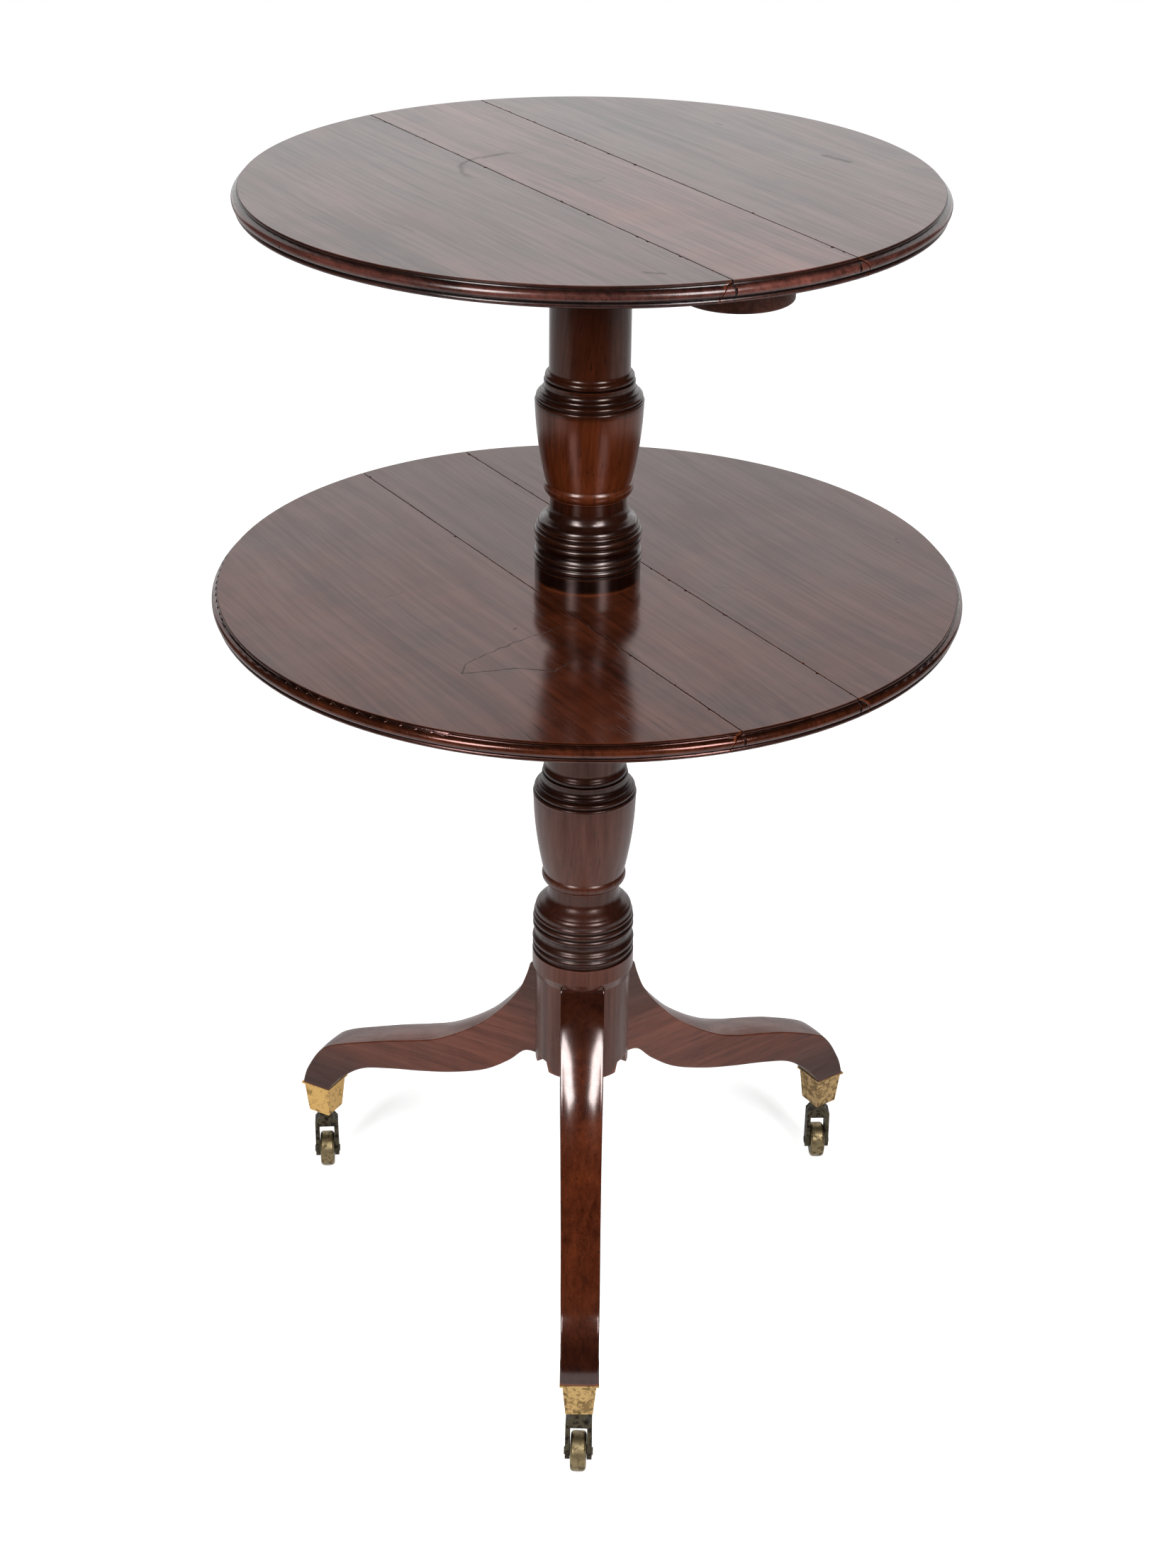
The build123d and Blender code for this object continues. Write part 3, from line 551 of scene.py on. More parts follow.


# Mahogany with its grain turned to one bearing, or upright where the piece is turned. "shift"
# moves the figure, so that each board has its own. "bands" sets how light it is at some heights.
# A tier's rim is darker than its top, with painted light and shade on its mouldings.
def mahogany(name, kind, bearing=0.0, upright=False, shift=(0, 0, 0), tint=1.0, tier=None, bands=None):
    look = woods[kind]
    material, tree, shader, place = newMaterial(name)
    turn = (0, radians(90), 0) if upright else (0, 0, -bearing)
    grain = stretch(tree, place, turn=turn, shift=shift)
    figure = useGroup(tree, mahoganyFigure, Vector=grain, Streaks=look["streaks"])
    handled = useGroup(tree, handling, Vector=grain, Amount=woodMix["handling"])
    edges = useGroup(tree, hollows, Vector=place, Reach=look["reach"])
    level = heightOf(tree, place)

    tone = times(tree, swing(tree, figure["Ribbon"]), look["ribbon"])
    for part, share in woodMix["figure"]:
        tone = timesPlus(tree, figure[part], share, tone)
    colour = ramp(tree, tone, list(zip(look["spread"], (look["dark"], look["light"]))))
    colour = mixColour(tree, times(tree, figure["Pore"], woodMix["pores"]), colour, oldWaxAndShade)
    shade = times(tree, tint, greyRamp(tree, level, bands)) if bands else tint
    # A tier's rim takes painted light and shade by height: a lit bead, and a shaded groove and cove.
    if tier:
        share = timesPlus(tree, level, 1 / tierThickness, 1 - tier["top"] / tierThickness)
        shade = times(tree, shade, greyRamp(tree, share, rimPaintedLight))
    if tier or bands:
        colour = mixColour(tree, 1.0, colour, shade, "MULTIPLY")
    # Rubbed crests lighten, with a painted highlight.
    colour = mixColour(tree, times(tree, edges["Crest"], look["crest"]), colour, rubbedEdgeAndHighlight)
    # The hollows darken with old wax and painted shade.
    colour = mixColour(tree, times(tree, edges["Hollow"], woodMix["wax"]), colour, oldWaxAndShade)

    rougher = woodMix["rougher"]
    rough = timesPlus(tree, swing(tree, handled["Smudge"]), rougher["Smudge"], look["roughness"])
    rough = timesPlus(tree, handled["Scratch"], rougher["Scratch"], rough)
    rough = timesPlus(tree, edges["Hollow"], rougher["Hollow"], rough)
    relief = minus(tree, times(tree, figure["Line"], woodMix["lines"]), figure["Pore"])
    relief = minus(tree, relief, handled["Scratch"])
    if tier:
        start, full = underside["edges"]
        under = remap(tree, level, tier["top"] - start, tier["top"] - full, 1.0, 0.0)
        rough = timesPlus(tree, under, underside["rougher"], rough)
        colour = mixColour(tree, times(tree, under, underside["share"]), colour, underside["colour"])
        colour, rough, relief = addMarks(tree, place, tier, colour, rough, relief)
    feed(tree, shader.inputs["Base Color"], colour)
    feed(tree, shader.inputs["Roughness"], rough)
    addBump(tree, shader, relief, *woodMix["relief"])

    streakShare, lineShare = woodMix["polishFigure"]
    polish = times(tree, plus(tree, figure["Streak"], handled["Smudge"]), streakShare)
    polish = timesPlus(tree, figure["Line"], lineShare, polish)
    polish = remap(tree, polish, *woodMix["polishSpread"], *look["polish"])
    feed(tree, shader.inputs["Coat Weight"], polish)
    shader.inputs["Coat Roughness"].default_value = look["roughness"]
    shader.inputs["Specular Tint"].default_value = (*look["sheen"], 1)
    shader.inputs["IOR"].default_value = look["bend"]
    return material


# Each metal's clean and dull colours, its roughness, and how far the dull spreads over the clean.
metals = {
    "capBrassFront": ((0.54, 0.36, 0.15), (0.12, 0.075, 0.032), 0.42, 0.02),
    "capBrassLeft": ((0.68, 0.43, 0.15), (0.15, 0.09, 0.035), 0.4, -0.04),
    "capBrassRight": ((0.46, 0.31, 0.14), (0.13, 0.08, 0.036), 0.42, 0.04),
    "castorBronze": ((0.08, 0.068, 0.045), (0.016, 0.012, 0.01), 0.4, 0.0),
    "wheelBrass": ((0.24, 0.185, 0.1), (0.065, 0.046, 0.024), 0.36, -0.02),
    "pinBrass": ((0.35, 0.23, 0.09), (0.09, 0.05, 0.022), 0.4, 0.0),
    "hingeIron": ((0.16, 0.15, 0.14), (0.045, 0.03, 0.022), 0.5, 0.0),
    "screwIron": ((0.2, 0.19, 0.18), (0.05, 0.034, 0.025), 0.45, 0.0),
}
metalMix = {
    "blotchEdges": (0.44, 0.62),
    "specks": 0.7,
    "crest": 0.5,                # how much of the dirt is rubbed off an edge
    "duller": 0.2,               # roughness under the dirt
    "rub": 0.1,
    "speckHeight": 0.3,
    "relief": (0.3, 0.0002),
}


def oldMetal(name):
    clean, dull, roughness, spread = metals[name]
    mix = metalMix
    material, tree, shader, place = newMaterial(name)
    marks = useGroup(tree, patina, Vector=place)
    edges = useGroup(tree, hollows, Vector=place)
    dirt = remap(tree, plus(tree, marks["Blotch"], spread), *mix["blotchEdges"])
    dirt = larger(tree, [dirt, times(tree, marks["Speck"], mix["specks"]), edges["Hollow"]])
    dirt = math(tree, "SUBTRACT", dirt, times(tree, edges["Crest"], mix["crest"]), clamp=True)
    colour = mixColour(tree, dirt, (*clean, 1), (*dull, 1))
    feed(tree, shader.inputs["Base Color"], colour)
    shader.inputs["Metallic"].default_value = 1.0
    rough = timesPlus(tree, dirt, mix["duller"], roughness)
    feed(tree, shader.inputs["Roughness"], timesPlus(tree, marks["Rub"], mix["rub"], rough))
    height = timesPlus(tree, marks["Speck"], mix["speckHeight"], marks["Blotch"])
    addBump(tree, shader, height, *mix["relief"])
    return material


legBearings = {"front": radians(-89.7), "right": radians(34.6), "left": radians(151.2)}
# Each board's own stretch of figure, and how light it is.
boards = {
    "upper_plank": ((0.3, 1.1, 0), 1.6),
    "upper_left_leaf": ((1.7, 0.2, 0), 0.95),
    "upper_right_leaf": ((2.9, 2.3, 0), 0.95),
    "lower_plank": ((4.1, 1.9, 0), 1.0),
    "lower_left_leaf": ((5.3, 0.4, 0), 1.0),
    "lower_right_leaf": ((6.2, 3.1, 0), 0.95),
}
# How light the wood is by height: the mouldings are darkest and the vases lightest.
columnBands = {
    "upper": [(0.681, 0.04), (0.727, 0.06), (0.732, 0.12), (0.75, 0.3), (0.754, 0.7), (0.766, 0.95),
              (0.826, 0.95), (0.829, 0.15), (0.843, 0.2), (0.846, 0.8), (0.847, 0.25), (0.858, 0.7),
              (0.98, 0.6)],
    "lower": [(0.22, 0.9), (0.332, 1.0), (0.336, 0.25), (0.368, 0.25), (0.376, 0.4), (0.4, 0.6),
              (0.412, 1.0), (0.484, 1.0), (0.488, 0.25), (0.508, 0.25), (0.515, 0.8)],
}
legBands = [(0.09, 0.2), (0.125, 0.35), (0.16, 0.85), (0.2, 1.0), (0.25, 0.9), (0.275, 0.45), (0.31, 0.3)]

finishes = {name: oldMetal(name) for name in metals}
for name, (shift, tint) in boards.items():
    tier = name.split("_")[0]
    finishes[name] = mahogany(name + "Wood", tier + "Tier", leafJointBearing, shift=shift, tint=tint,
                              tier=tiers[tier])
for tier, bands in columnBands.items():
    finishes[tier + "_column"] = mahogany(tier + "ColumnWood", tier + "Column", upright=True, bands=bands)
finishes["bearer"] = mahogany("bearerWood", "bearer", leafJointBearing)
for side, bearing in legBearings.items():
    finishes["leg_" + side] = mahogany("legWood_" + side, "frontLeg" if side == "front" else "leg",
                                       bearing, shift=(bearing, 0, 0), bands=legBands)


# The finish of a node, from its name.
def finishFor(name):
    if name in finishes:
        return name
    if "hinge_screws" in name or name == "hub_brace_screws":
        return "screwIron"
    if "hinge" in name or name == "hub_brace_plate":
        return "hingeIron"
    if name.endswith("bearer"):
        return "bearer"
    if name.startswith("foot_cap"):
        return "capBrass" + name.split("_")[-1].capitalize()
    if name.startswith("castor_wheel"):
        return "wheelBrass"
    if name == "cap_pins":
        return "pinBrass"
    return "castorBronze"


for name, node in nodes.items():
    material = finishes[finishFor(name)]
    if not node.material_slots:
        node.data.materials.append(material)
    for entry in node.material_slots:
        entry.material = material
print("materials assigned")

# Pieces of our own

legForm = {
    "hub": 0.0408,        # radius where the legs meet the hub
    "reach": 0.2941,      # to the outside of the foot
    "top": 0.3132,
    "foot": 0.0972,
    "width": 0.0386,
    "arris": 0.0014,
    "arrisSteps": 4,
    "arrisMargin": 0.0004,
    "stations": 110,
    "lineSteps": 24,
    "creaseAngle": radians(40),
    # run and rise shares from the hub out
    "upperLine": [(-0.03, 1), (-0.006, 1), (0.0035, 0.995), (0.0075, 0.98), (0.02, 0.935), (0.055, 0.858),
                  (0.11, 0.768), (0.2, 0.65), (0.3, 0.554), (0.4, 0.478), (0.5, 0.428), (0.65, 0.36),
                  (0.843, 0.259), (0.92, 0.194), (0.978, 0.083), (1, 0)],
    "lowerLine": [(-0.03, 0.5667), (0.028, 0.558), (0.094, 0.4816), (0.194, 0.395), (0.33, 0.324),
                  (0.468, 0.272), (0.61, 0.226), (0.7315, 0.175), (0.829, 0.083), (0.8848, 0)],
    "widthShares": [(-0.05, 1), (0.322, 0.912), (0.617, 0.862), (0.843, 0.835), (1, 0.8)],
    # how far the middle of the top stands over its edges, in metres by run share
    "crown": [(-0.05, 0.0), (0.016, 0.0), (0.04, 0.0050), (0.12, 0.0056), (0.35, 0.0034), (0.8, 0.0012),
              (1, 0.0006)],
    "topShares": (-1, -0.96, -0.8, -0.6, -0.4, -0.2, 0, 0.2, 0.4, 0.6, 0.8, 0.96, 1),
    "underShares": (1, 0.95, 0, -0.95, -1),
    # the foot stands a little proud over the cap
    "cuff": [(0.0, 0.0004), (0.095, 0.0004), (0.1, 0.0)],
    # hand-cut unevenness of the upper line
    "lift": {"front": [(0, 0), (1, 0)], "left": [(0.75, 0), (0.85, 0.0006), (1, 0)],
             "right": [(0.5, 0), (0.7, 0.0035), (0.9, 0.0035), (0.96, 0.0015), (1, 0)]},
}


# A value read off a table of pairs.
def between(table, value):
    for (x0, y0), (x1, y1) in zip(table, table[1:]):
        if value <= x1:
            return y0 + (y1 - y0) * max(0.0, (value - x0) / (x1 - x0))
    return table[-1][1]


# A smooth curve's place between q and r, with p before them and s after.
def curvePlace(p, q, r, s, t):
    return 0.5 * (2 * q + (r - p) * t + (2 * p - 5 * q + 4 * r - s) * t * t
                  + (3 * q - p - 3 * r + s) * t**3)


# Places evenly spaced along a smooth line through the given ones.
def smoothLine(points, count, steps):
    dense = []
    held = [points[0]] + list(points) + [points[-1]]
    for four in zip(held, held[1:], held[2:], held[3:]):
        for step in range(steps):
            dense.append(tuple(curvePlace(*values, step / steps) for values in zip(*four)))
    dense.append(points[-1])
    run = [0.0]
    for a, b in zip(dense, dense[1:]):
        run.append(run[-1] + sqrt((b[0] - a[0]) ** 2 + (b[1] - a[1]) ** 2))
    line = []
    at = 0
    for step in range(count):
        want = run[-1] * step / (count - 1)
        while at < len(run) - 2 and run[at + 1] < want:
            at += 1
        share = (want - run[at]) / max(1e-9, run[at + 1] - run[at])
        line.append(tuple(a + (b - a) * share for a, b in zip(dense[at], dense[at + 1])))
    return line


# One section of a leg: offsets across and down from the top, all round.
def legSection(half, depth, crown):
    arris, steps, margin = legForm["arris"], legForm["arrisSteps"], legForm["arrisMargin"]
    flat = half - arris
    angles = [pi / 2 * k / steps for k in range(1, steps + 1)]
    arc = [(arris * sin(angle), arris * (1 - cos(angle))) for angle in angles]
    top = [(flat * share, crown * (flat * share / half) ** 2) for share in legForm["topShares"]]
    drop = crown * (flat / half) ** 2
    right = [(flat + x, drop + y) for x, y in arc]
    side = [(half, drop + arris + margin), (half, depth / 2), (half, depth - arris - margin)]
    foot = [(flat + x, depth - y) for x, y in reversed(arc)]
    under = [(flat * share, depth) for share in legForm["underShares"]]
    left = [(-x, y) for x, y in reversed(right + side + foot)]
    return top + right + side + foot + under + left


def makeLeg(side):
    form = legForm
    run = form["reach"] - form["hub"]
    rise = form["top"] - form["foot"]
    lines = []
    for key in ("upperLine", "lowerLine"):
        points = [(form["hub"] + run * u, form["foot"] + rise * v) for u, v in form[key]]
        lines.append(smoothLine(points, form["stations"], form["lineSteps"]))
    bearing = legBearings[side]
    out = Vector((cos(bearing), sin(bearing), 0))
    across = Vector((-sin(bearing), cos(bearing), 0))
    sections = []
    for (topRun, topRise), (lowRun, lowRise) in zip(*lines):
        upper = out * topRun + Vector((0, 0, topRise))
        lower = out * lowRun + Vector((0, 0, lowRise))
        share = (topRun - form["hub"]) / run
        upper.z += between(form["lift"][side], share)
        half = form["width"] * between(form["widthShares"], share) / 2
        half += between(form["cuff"], (topRise - form["foot"]) / rise)
        down = lower - upper
        depth = down.length
        down.normalize()
        section = legSection(half, depth, between(form["crown"], share))
        sections.append([upper + across * x + down * y for x, y in section])
    shape = bmesh.new()
    made = [[shape.verts.new(place) for place in places] for places in sections]
    for one, two in zip(made, made[1:]):
        for k in range(len(one)):
            after = (k + 1) % len(one)
            shape.faces.new((one[k], one[after], two[after], two[k]))
    for end in (made[0], made[-1]):
        middle = shape.verts.new(sum((v.co for v in end), Vector()) / len(end))
        for k in range(len(end)):
            shape.faces.new((end[k], end[(k + 1) % len(end)], middle))
    bmesh.ops.recalc_face_normals(shape, faces=shape.faces)
    mesh = bpy.data.meshes.new("carvedLeg_" + side)
    shape.to_mesh(mesh)
    shape.free()
    mesh.polygons.foreach_set("use_smooth", [True] * len(mesh.polygons))
    mesh.set_sharp_from_angle(angle=form["creaseAngle"])
    leg = bpy.data.objects.new("carvedLeg_" + side, mesh)
    scene.collection.objects.link(leg)
    mesh.materials.append(finishes["leg_" + side])
    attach(leg, "stand")
    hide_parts("leg_" + side)


for side in legBearings:
    makeLeg(side)
print("legs carved")

# Wear on the boards' edges. A flake's size is drawn between 0 and 1, raised to "power", then
# multiplied by "spread" and added to "least"; each draw has its own step from the board's seed.

wear = {
    "offset": 0.051,           # from the middle to each leaf joint
    "gap": 0.0008,
    "jointFlakes": 46,
    "rimFlakes": 40,
    "flake": 0.0015,           # the largest flake's half width
    "notch": (0.0020, 0.0011, 0.0036),
    "notchDepth": 0.0066,      # from the top to a notch's middle
    "notchTurn": ((-0.2, -0.3, -0.5), (0.2, 0.3, 0.5)),
    "ballLevels": 2,
    "firstSeed": 20,
}
jointFlakes = {
    "reach": 0.985,            # the share of a joint that they lie along
    "stray": ((-0.006, -0.0002, 0.0), (0.006, 0.0002, 0.0002)),
    "power": 5.0, "spread": 0.85, "least": 0.15,
    "length": (1.0, 2.4),
    "height": 0.8,
    "turn": ((-0.3, -0.3, -0.4), (0.3, 0.3, 0.4)),
}
rimFlakes = {
    "bearing": (-0.5, 0.5), "bearingShare": 0.3,
    "depth": (0.0015, 0.0085),
    "power": 3.0, "spread": 0.7, "least": 0.2,
    "largest": 0.9,            # against a joint's
    "length": 1.5,
    "turn": ((0.0, 0.0, 0.0), (6.28, 6.28, 6.28)),
}
sideStep, edgeStep = 3, 11
drawSteps = {"size": 100, "length": 200, "turn": 300, "notch": 400, "rimBearing": 500, "rimDepth": 600,
             "rimSize": 700, "rimTurn": 800}
shading = {"crease": 0.5, "level": 0.9998}     # radians, and how upright a flat face's normal is


def geometryTree(name, inputs):
    tree = bpy.data.node_groups.new(name, "GeometryNodeTree")
    keys = {}
    for label, kind in inputs.items():
        socket = tree.interface.new_socket(label, in_out="INPUT", socket_type="NodeSocket" + kind)
        keys[label] = socket.identifier
    tree.interface.new_socket("Geometry", in_out="OUTPUT", socket_type="NodeSocketGeometry")
    return tree, keys, addNode(tree, "NodeGroupInput").outputs, addNode(tree, "NodeGroupOutput").inputs


# A random number, or a random vector where the limits are vectors.
def random(tree, low, high, seed):
    kind, first, given = ("FLOAT_VECTOR", 0, 0) if isinstance(low, tuple) else ("FLOAT", 2, 1)
    node = addNode(tree, "FunctionNodeRandomValue", data_type=kind)
    feed(tree, node.inputs[first], low)
    feed(tree, node.inputs[first + 1], high)
    feed(tree, node.inputs["Seed"], seed)
    return node.outputs[given]


def flakeSize(tree, form, seed, largest):
    draw = math(tree, "POWER", random(tree, 0.0, 1.0, seed), form["power"])
    return times(tree, timesPlus(tree, draw, form["spread"], form["least"]), largest)


def scatter(tree, points, ball, turn, scale):
    values = {"Points": points, "Instance": ball, "Rotation": turn, "Scale": scale}
    return nodeWith(tree, "GeometryNodeInstanceOnPoints", values)


def lineOfPoints(tree, count, start, end):
    values = {"Count": count, "Start Location": start, "Offset": end}
    return nodeWith(tree, "GeometryNodeMeshLine", values, mode="END_POINTS")


def setShade(tree, board, chosen, domain):
    values = {"Geometry": board, "Selection": chosen, "Shade Smooth": False}
    return nodeWith(tree, "GeometryNodeSetShadeSmooth", values, domain=domain)


# Flakes along one edge of a joint.
def alongJoint(tree, given, ball, half, side, edge):
    form = jointFlakes
    seed = plus(tree, given["Seed"], side * sideStep + edge * edgeStep)
    y = times(tree, timesPlus(tree, given["Gap"], edge, given["Offset"]), side)
    start = vector(tree, times(tree, half, -form["reach"]), y, given["Top"])
    end = vector(tree, times(tree, half, form["reach"]), y, given["Top"])
    line = lineOfPoints(tree, given["Joint Flakes"], start, end)
    stray = random(tree, *form["stray"], seed)
    line = nodeWith(tree, "GeometryNodeSetPosition", {"Geometry": line, "Offset": stray})
    size = flakeSize(tree, form, plus(tree, seed, drawSteps["size"]), given["Flake"])
    length = random(tree, *form["length"], plus(tree, seed, drawSteps["length"]))
    scale = vector(tree, times(tree, size, length), size, times(tree, size, form["height"]))
    turn = random(tree, *form["turn"], plus(tree, seed, drawSteps["turn"]))
    return scatter(tree, line, ball, turn, scale)


# A notch at each end of a joint.
def atJointEnds(tree, given, ball, half, side):
    y = times(tree, timesPlus(tree, given["Gap"], 0.5, given["Offset"]), side)
    low = minus(tree, given["Top"], wear["notchDepth"])
    start = vector(tree, times(tree, half, -1.0), y, low)
    pair = lineOfPoints(tree, 2, start, vector(tree, half, y, low))
    seed = plus(tree, given["Seed"], drawSteps["notch"] + side)
    turn = random(tree, *wear["notchTurn"], seed)
    return scatter(tree, pair, ball, turn, given["Notch"])


# Flakes round the rim.
def roundRim(tree, given, ball):
    form = rimFlakes
    circle = nodeWith(tree, "GeometryNodeMeshCircle",
                      {"Vertices": given["Rim Flakes"], "Radius": given["Radius"]})
    draw = random(tree, *form["bearing"], plus(tree, given["Seed"], drawSteps["rimBearing"]))
    values = {"Vector": addNode(tree, "GeometryNodeInputPosition").outputs[0],
              "Angle": times(tree, draw, form["bearingShare"])}
    spot = nodeWith(tree, "ShaderNodeVectorRotate", values, rotation_type="Z_AXIS")
    depth = random(tree, *form["depth"], plus(tree, given["Seed"], drawSteps["rimDepth"]))
    level = vector(tree, 0.0, 0.0, minus(tree, given["Top"], depth))
    values = {"Geometry": circle, "Position": spot, "Offset": level}
    circle = nodeWith(tree, "GeometryNodeSetPosition", values)
    largest = times(tree, given["Flake"], form["largest"])
    size = flakeSize(tree, form, plus(tree, given["Seed"], drawSteps["rimSize"]), largest)
    turn = random(tree, *form["turn"], plus(tree, given["Seed"], drawSteps["rimTurn"]))
    return scatter(tree, circle, ball, turn, vector(tree, times(tree, size, form["length"]), size, size))


# Breaks flakes off a board: many small ones along its leaf joints and its rim, and a notch at
# each end of a joint. The board lies at its height, with the joints turned to their bearing.
def makeWornEdges():
    tree, keys, given, result = geometryTree("wornEdges", {
        "Geometry": "Geometry", "Top": "Float", "Radius": "Float", "Offset": "Float",
        "Bearing": "Float", "Gap": "Float", "Joint Flakes": "Int", "Rim Flakes": "Int",
        "Flake": "Float", "Notch": "Vector", "Seed": "Int", "Material": "Material"})
    squares = [math(tree, "POWER", given[label], 2.0) for label in ("Radius", "Offset")]
    half = math(tree, "SQRT", minus(tree, *squares))
    ball = nodeWith(tree, "GeometryNodeMeshIcoSphere", {"Radius": 1.0, "Subdivisions": wear["ballLevels"]})
    parts = []
    for side in (-1, 1):
        parts += [alongJoint(tree, given, ball, half, side, edge) for edge in (0.0, 1.0)]
        parts.append(atJointEnds(tree, given, ball, half, side))
    parts.append(roundRim(tree, given, ball))
    joined = addNode(tree, "GeometryNodeJoinGeometry")
    for part in parts:
        tree.links.new(part, joined.inputs[0])
    turned = nodeWith(tree, "GeometryNodeTransform",
                      {"Geometry": joined.outputs[0], "Rotation": vector(tree, z=given["Bearing"])})
    flakes = nodeWith(tree, "GeometryNodeRealizeInstances", {"Geometry": turned})
    cut = addNode(tree, "GeometryNodeMeshBoolean", operation="DIFFERENCE", solver="EXACT")
    feed(tree, cut.inputs["Mesh 1"], given["Geometry"])
    feed(tree, cut.inputs["Mesh 2"], flakes)
    cut.inputs["Self Intersection"].default_value = True
    board = nodeWith(tree, "GeometryNodeSetShadeSmooth", {"Geometry": cut.outputs[0], "Shade Smooth": True})
    angle = addNode(tree, "GeometryNodeInputMeshEdgeAngle").outputs["Unsigned Angle"]
    board = setShade(tree, board, math(tree, "GREATER_THAN", angle, shading["crease"]), "EDGE")
    facing = heightOf(tree, addNode(tree, "GeometryNodeInputNormal").outputs[0])
    flat = math(tree, "GREATER_THAN", math(tree, "ABSOLUTE", facing), shading["level"])
    board = setShade(tree, board, flat, "FACE")
    board = nodeWith(tree, "GeometryNodeRealizeInstances", {"Geometry": board})
    board = nodeWith(tree, "GeometryNodeSetMaterial", {"Geometry": board, "Material": given["Material"]})
    tree.links.new(board, result["Geometry"])
    return tree, keys


wornEdges, wornKeys = makeWornEdges()
joinDistance = 1e-6


# A node's mesh with its loose triangles joined up.
def mergedCopy(name, newName):
    shape = bmesh.new()
    shape.from_mesh(nodes[name].data)
    bmesh.ops.remove_doubles(shape, verts=shape.verts, dist=joinDistance)
    bmesh.ops.recalc_face_normals(shape, faces=shape.faces)
    mesh = bpy.data.meshes.new(newName)
    shape.to_mesh(mesh)
    shape.free()
    return mesh


rimShading = {
    "moulding": 0.008,         # how far in from the rim it is turned
    "skew": 0.03,              # the square of how far a strip may face along the rim
    "alike": 0.87,             # cosine of the largest bend that is shaded as one curve
    "kinds": 20,               # slopes are gathered by this many steps to a radian
    "digits": 5,               # and places by this many digits
}


# Shades a turned rim as turned: each corner takes the mean slope of the strips that meet at its
# height and radius, in the plane through the axis, weighed by their areas. Faces broken out of
# the rim keep their own shading.
def shadeRim(mesh, rim):
    form = rimShading
    digits = form["digits"]
    rowOf = [(round(vertex.co.xy.length, digits), round(vertex.co.z, digits)) for vertex in mesh.vertices]
    slopes = {}
    rows = {}
    for face in mesh.polygons:
        if abs(face.normal.z) > shading["level"] or min(rowOf[v][0] for v in face.vertices) < rim:
            continue
        along = face.normal.xy.dot(face.center.xy.normalized())
        if 1 - along**2 - face.normal.z**2 > form["skew"]:
            continue
        slope = Vector((along, face.normal.z)).normalized()
        slopes[face.index] = slope
        kind = round(atan2(slope.y, slope.x) * form["kinds"])
        for v in face.vertices:
            row = rows.setdefault(rowOf[v], {})
            row[kind] = row.get(kind, Vector((0, 0))) + slope * face.area
    corners = [tuple(corner.vector) for corner in mesh.corner_normals]
    for index, slope in slopes.items():
        for loop in mesh.polygons[index].loop_indices:
            vertex = mesh.loops[loop].vertex_index
            totals = rows[rowOf[vertex]].values()
            near = [total for total in totals if total.normalized().dot(slope) > form["alike"]]
            mean = sum(near, Vector((0, 0))).normalized()
            outward = mesh.vertices[vertex].co.xy.normalized()
            corners[loop] = (mean.x * outward.x, mean.x * outward.y, mean.y)
    mesh.normals_split_custom_set(corners)
    return len(slopes)


def wearBoard(name, body, seed):
    tier = tiers[name.split("_")[0]]
    board = bpy.data.objects.new("worn_" + name, mergedCopy(name, "worn_" + name))
    scene.collection.objects.link(board)
    change = board.modifiers.new("wornEdges", "NODES")
    change.node_group = wornEdges
    values = {"Top": tier["top"], "Radius": tier["radius"], "Offset": wear["offset"],
              "Bearing": leafJointBearing, "Gap": wear["gap"], "Joint Flakes": wear["jointFlakes"],
              "Rim Flakes": wear["rimFlakes"], "Flake": wear["flake"], "Notch": wear["notch"],
              "Seed": seed, "Material": finishes[name]}
    for label, value in values.items():
        change[wornKeys[label]] = value
    bpy.context.view_layer.update()
    made = bpy.data.meshes.new_from_object(board.evaluated_get(bpy.context.evaluated_depsgraph_get()))
    board.modifiers.remove(change)
    board.data = made
    print(name, "rim faces shaded as turned:", shadeRim(made, tier["radius"] - rimShading["moulding"]))
    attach(board, body)
    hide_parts(name)


for seed, name in enumerate(boards, wear["firstSeed"]):
    wearBoard(name, "stand" if name.endswith("plank") else name, seed)
print("boards worn")

# Stage: a pale sheet of paper and soft studio light

studio = {
    "paper": (-14.0, 14.0, -1.25, 4.3),     # left, right, front and back
    "paperColour": (0.74, 0.74, 0.74, 1),
    "paperSeen": 0.61,       # added white where the camera sees the paper
    "paperMirrored": 0.06,   # and where the polish mirrors it
    "room": (1, 1, 1, 1),
    "roomSeen": 1.0,
    "roomStrength": 0.10,
    "roomMirrored": 0.03,
    "backPanel": {"place": (0, 4.6, 2.6), "size": (10.0, 5.2), "power": 185.0},
    # a pair, each turned this many degrees from the front
    "frontPanels": {"bearing": 34.5, "distance": 2.12, "height": 2.1, "size": (0.66, 1.4), "power": 70.0},
    "aim": (0, 0, 0.6),
}


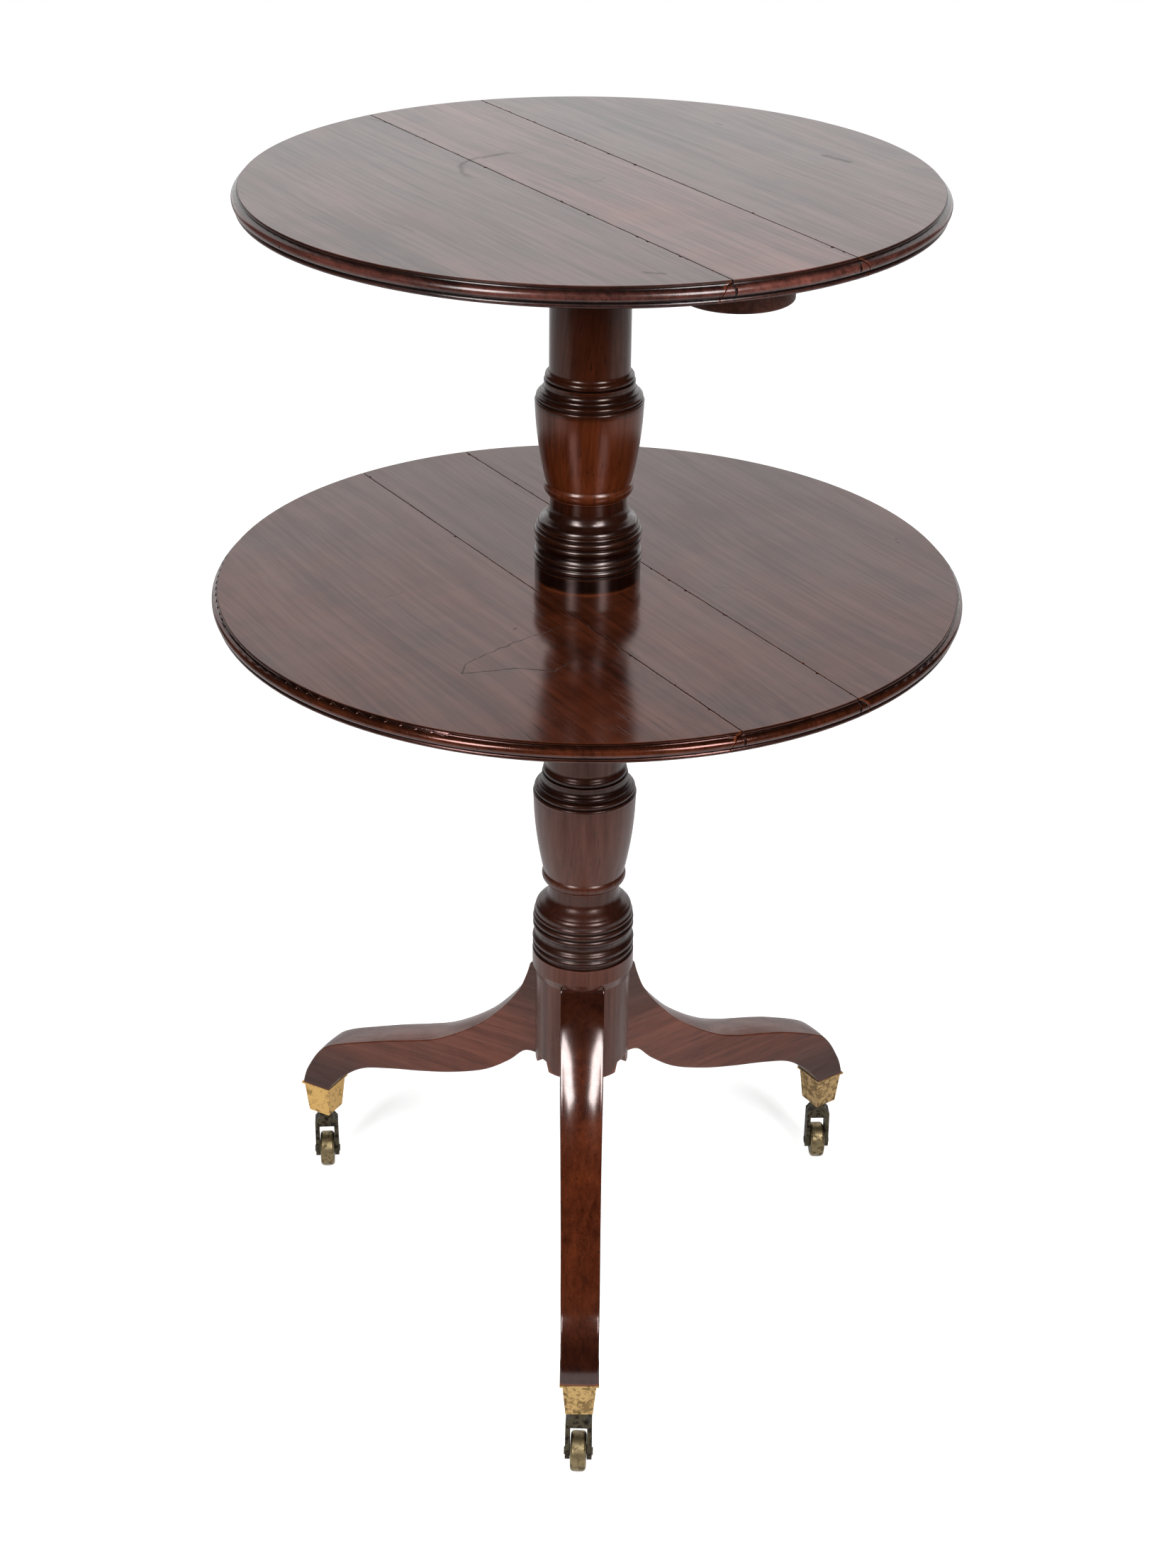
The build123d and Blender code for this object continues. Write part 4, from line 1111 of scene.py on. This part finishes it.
def makeFloor():
    left, right, front, back = studio["paper"]
    mesh = bpy.data.meshes.new("paperFloor")
    corners = [(left, front, 0), (right, front, 0), (right, back, 0), (left, back, 0)]
    mesh.from_pydata(corners, [], [(0, 1, 2, 3)])
    floor = bpy.data.objects.new("paperFloor", mesh)
    scene.collection.objects.link(floor)
    material = bpy.data.materials.new("whitePaper")
    material.use_nodes = True
    tree = material.node_tree
    tree.nodes.clear()
    paper = addNode(tree, "ShaderNodeBsdfDiffuse")
    paper.inputs["Color"].default_value = studio["paperColour"]
    white = addNode(tree, "ShaderNodeEmission")
    rays = addNode(tree, "ShaderNodeLightPath").outputs
    seen = times(tree, rays["Is Camera Ray"], studio["paperSeen"])
    mirrored = larger(tree, [rays["Is Glossy Ray"], rays["Is Transmission Ray"]])
    feed(tree, white.inputs["Strength"], timesPlus(tree, mirrored, studio["paperMirrored"], seen))
    both = addNode(tree, "ShaderNodeAddShader")
    tree.links.new(paper.outputs[0], both.inputs[0])
    tree.links.new(white.outputs[0], both.inputs[1])
    tree.links.new(both.outputs[0], addNode(tree, "ShaderNodeOutputMaterial").inputs[0])
    mesh.materials.append(material)


def addPanel(name, place, size, power):
    lamp = bpy.data.lights.new(name, "AREA")
    lamp.shape = "RECTANGLE"
    lamp.size, lamp.size_y = size
    lamp.energy = power
    holder = bpy.data.objects.new(name, lamp)
    away = Vector(place) - Vector(studio["aim"])
    holder.matrix_world = Matrix.Translation(place) @ away.to_track_quat("Z", "Y").to_matrix().to_4x4()
    holder.visible_camera = False
    scene.collection.objects.link(holder)


def makeLight():
    world = bpy.data.worlds.new("studioWorld")
    scene.world = world
    world.use_nodes = True
    tree = world.node_tree
    background = tree.nodes["Background"]
    background.inputs["Color"].default_value = studio["room"]
    room = studio["roomStrength"]
    rays = addNode(tree, "ShaderNodeLightPath").outputs
    lift = timesPlus(tree, rays["Is Camera Ray"], studio["roomSeen"] - room, room)
    dim = times(tree, rays["Is Glossy Ray"], room - studio["roomMirrored"])
    feed(tree, background.inputs["Strength"], minus(tree, lift, dim))
    back = studio["backPanel"]
    addPanel("backPanel", back["place"], back["size"], back["power"])
    front = studio["frontPanels"]
    for side in (-1, 1):
        bearing = radians(-90 + side * front["bearing"])
        place = (front["distance"] * cos(bearing), front["distance"] * sin(bearing), front["height"])
        addPanel("frontPanel", place, front["size"], front["power"])


makeFloor()
makeLight()
print("stage and light set")
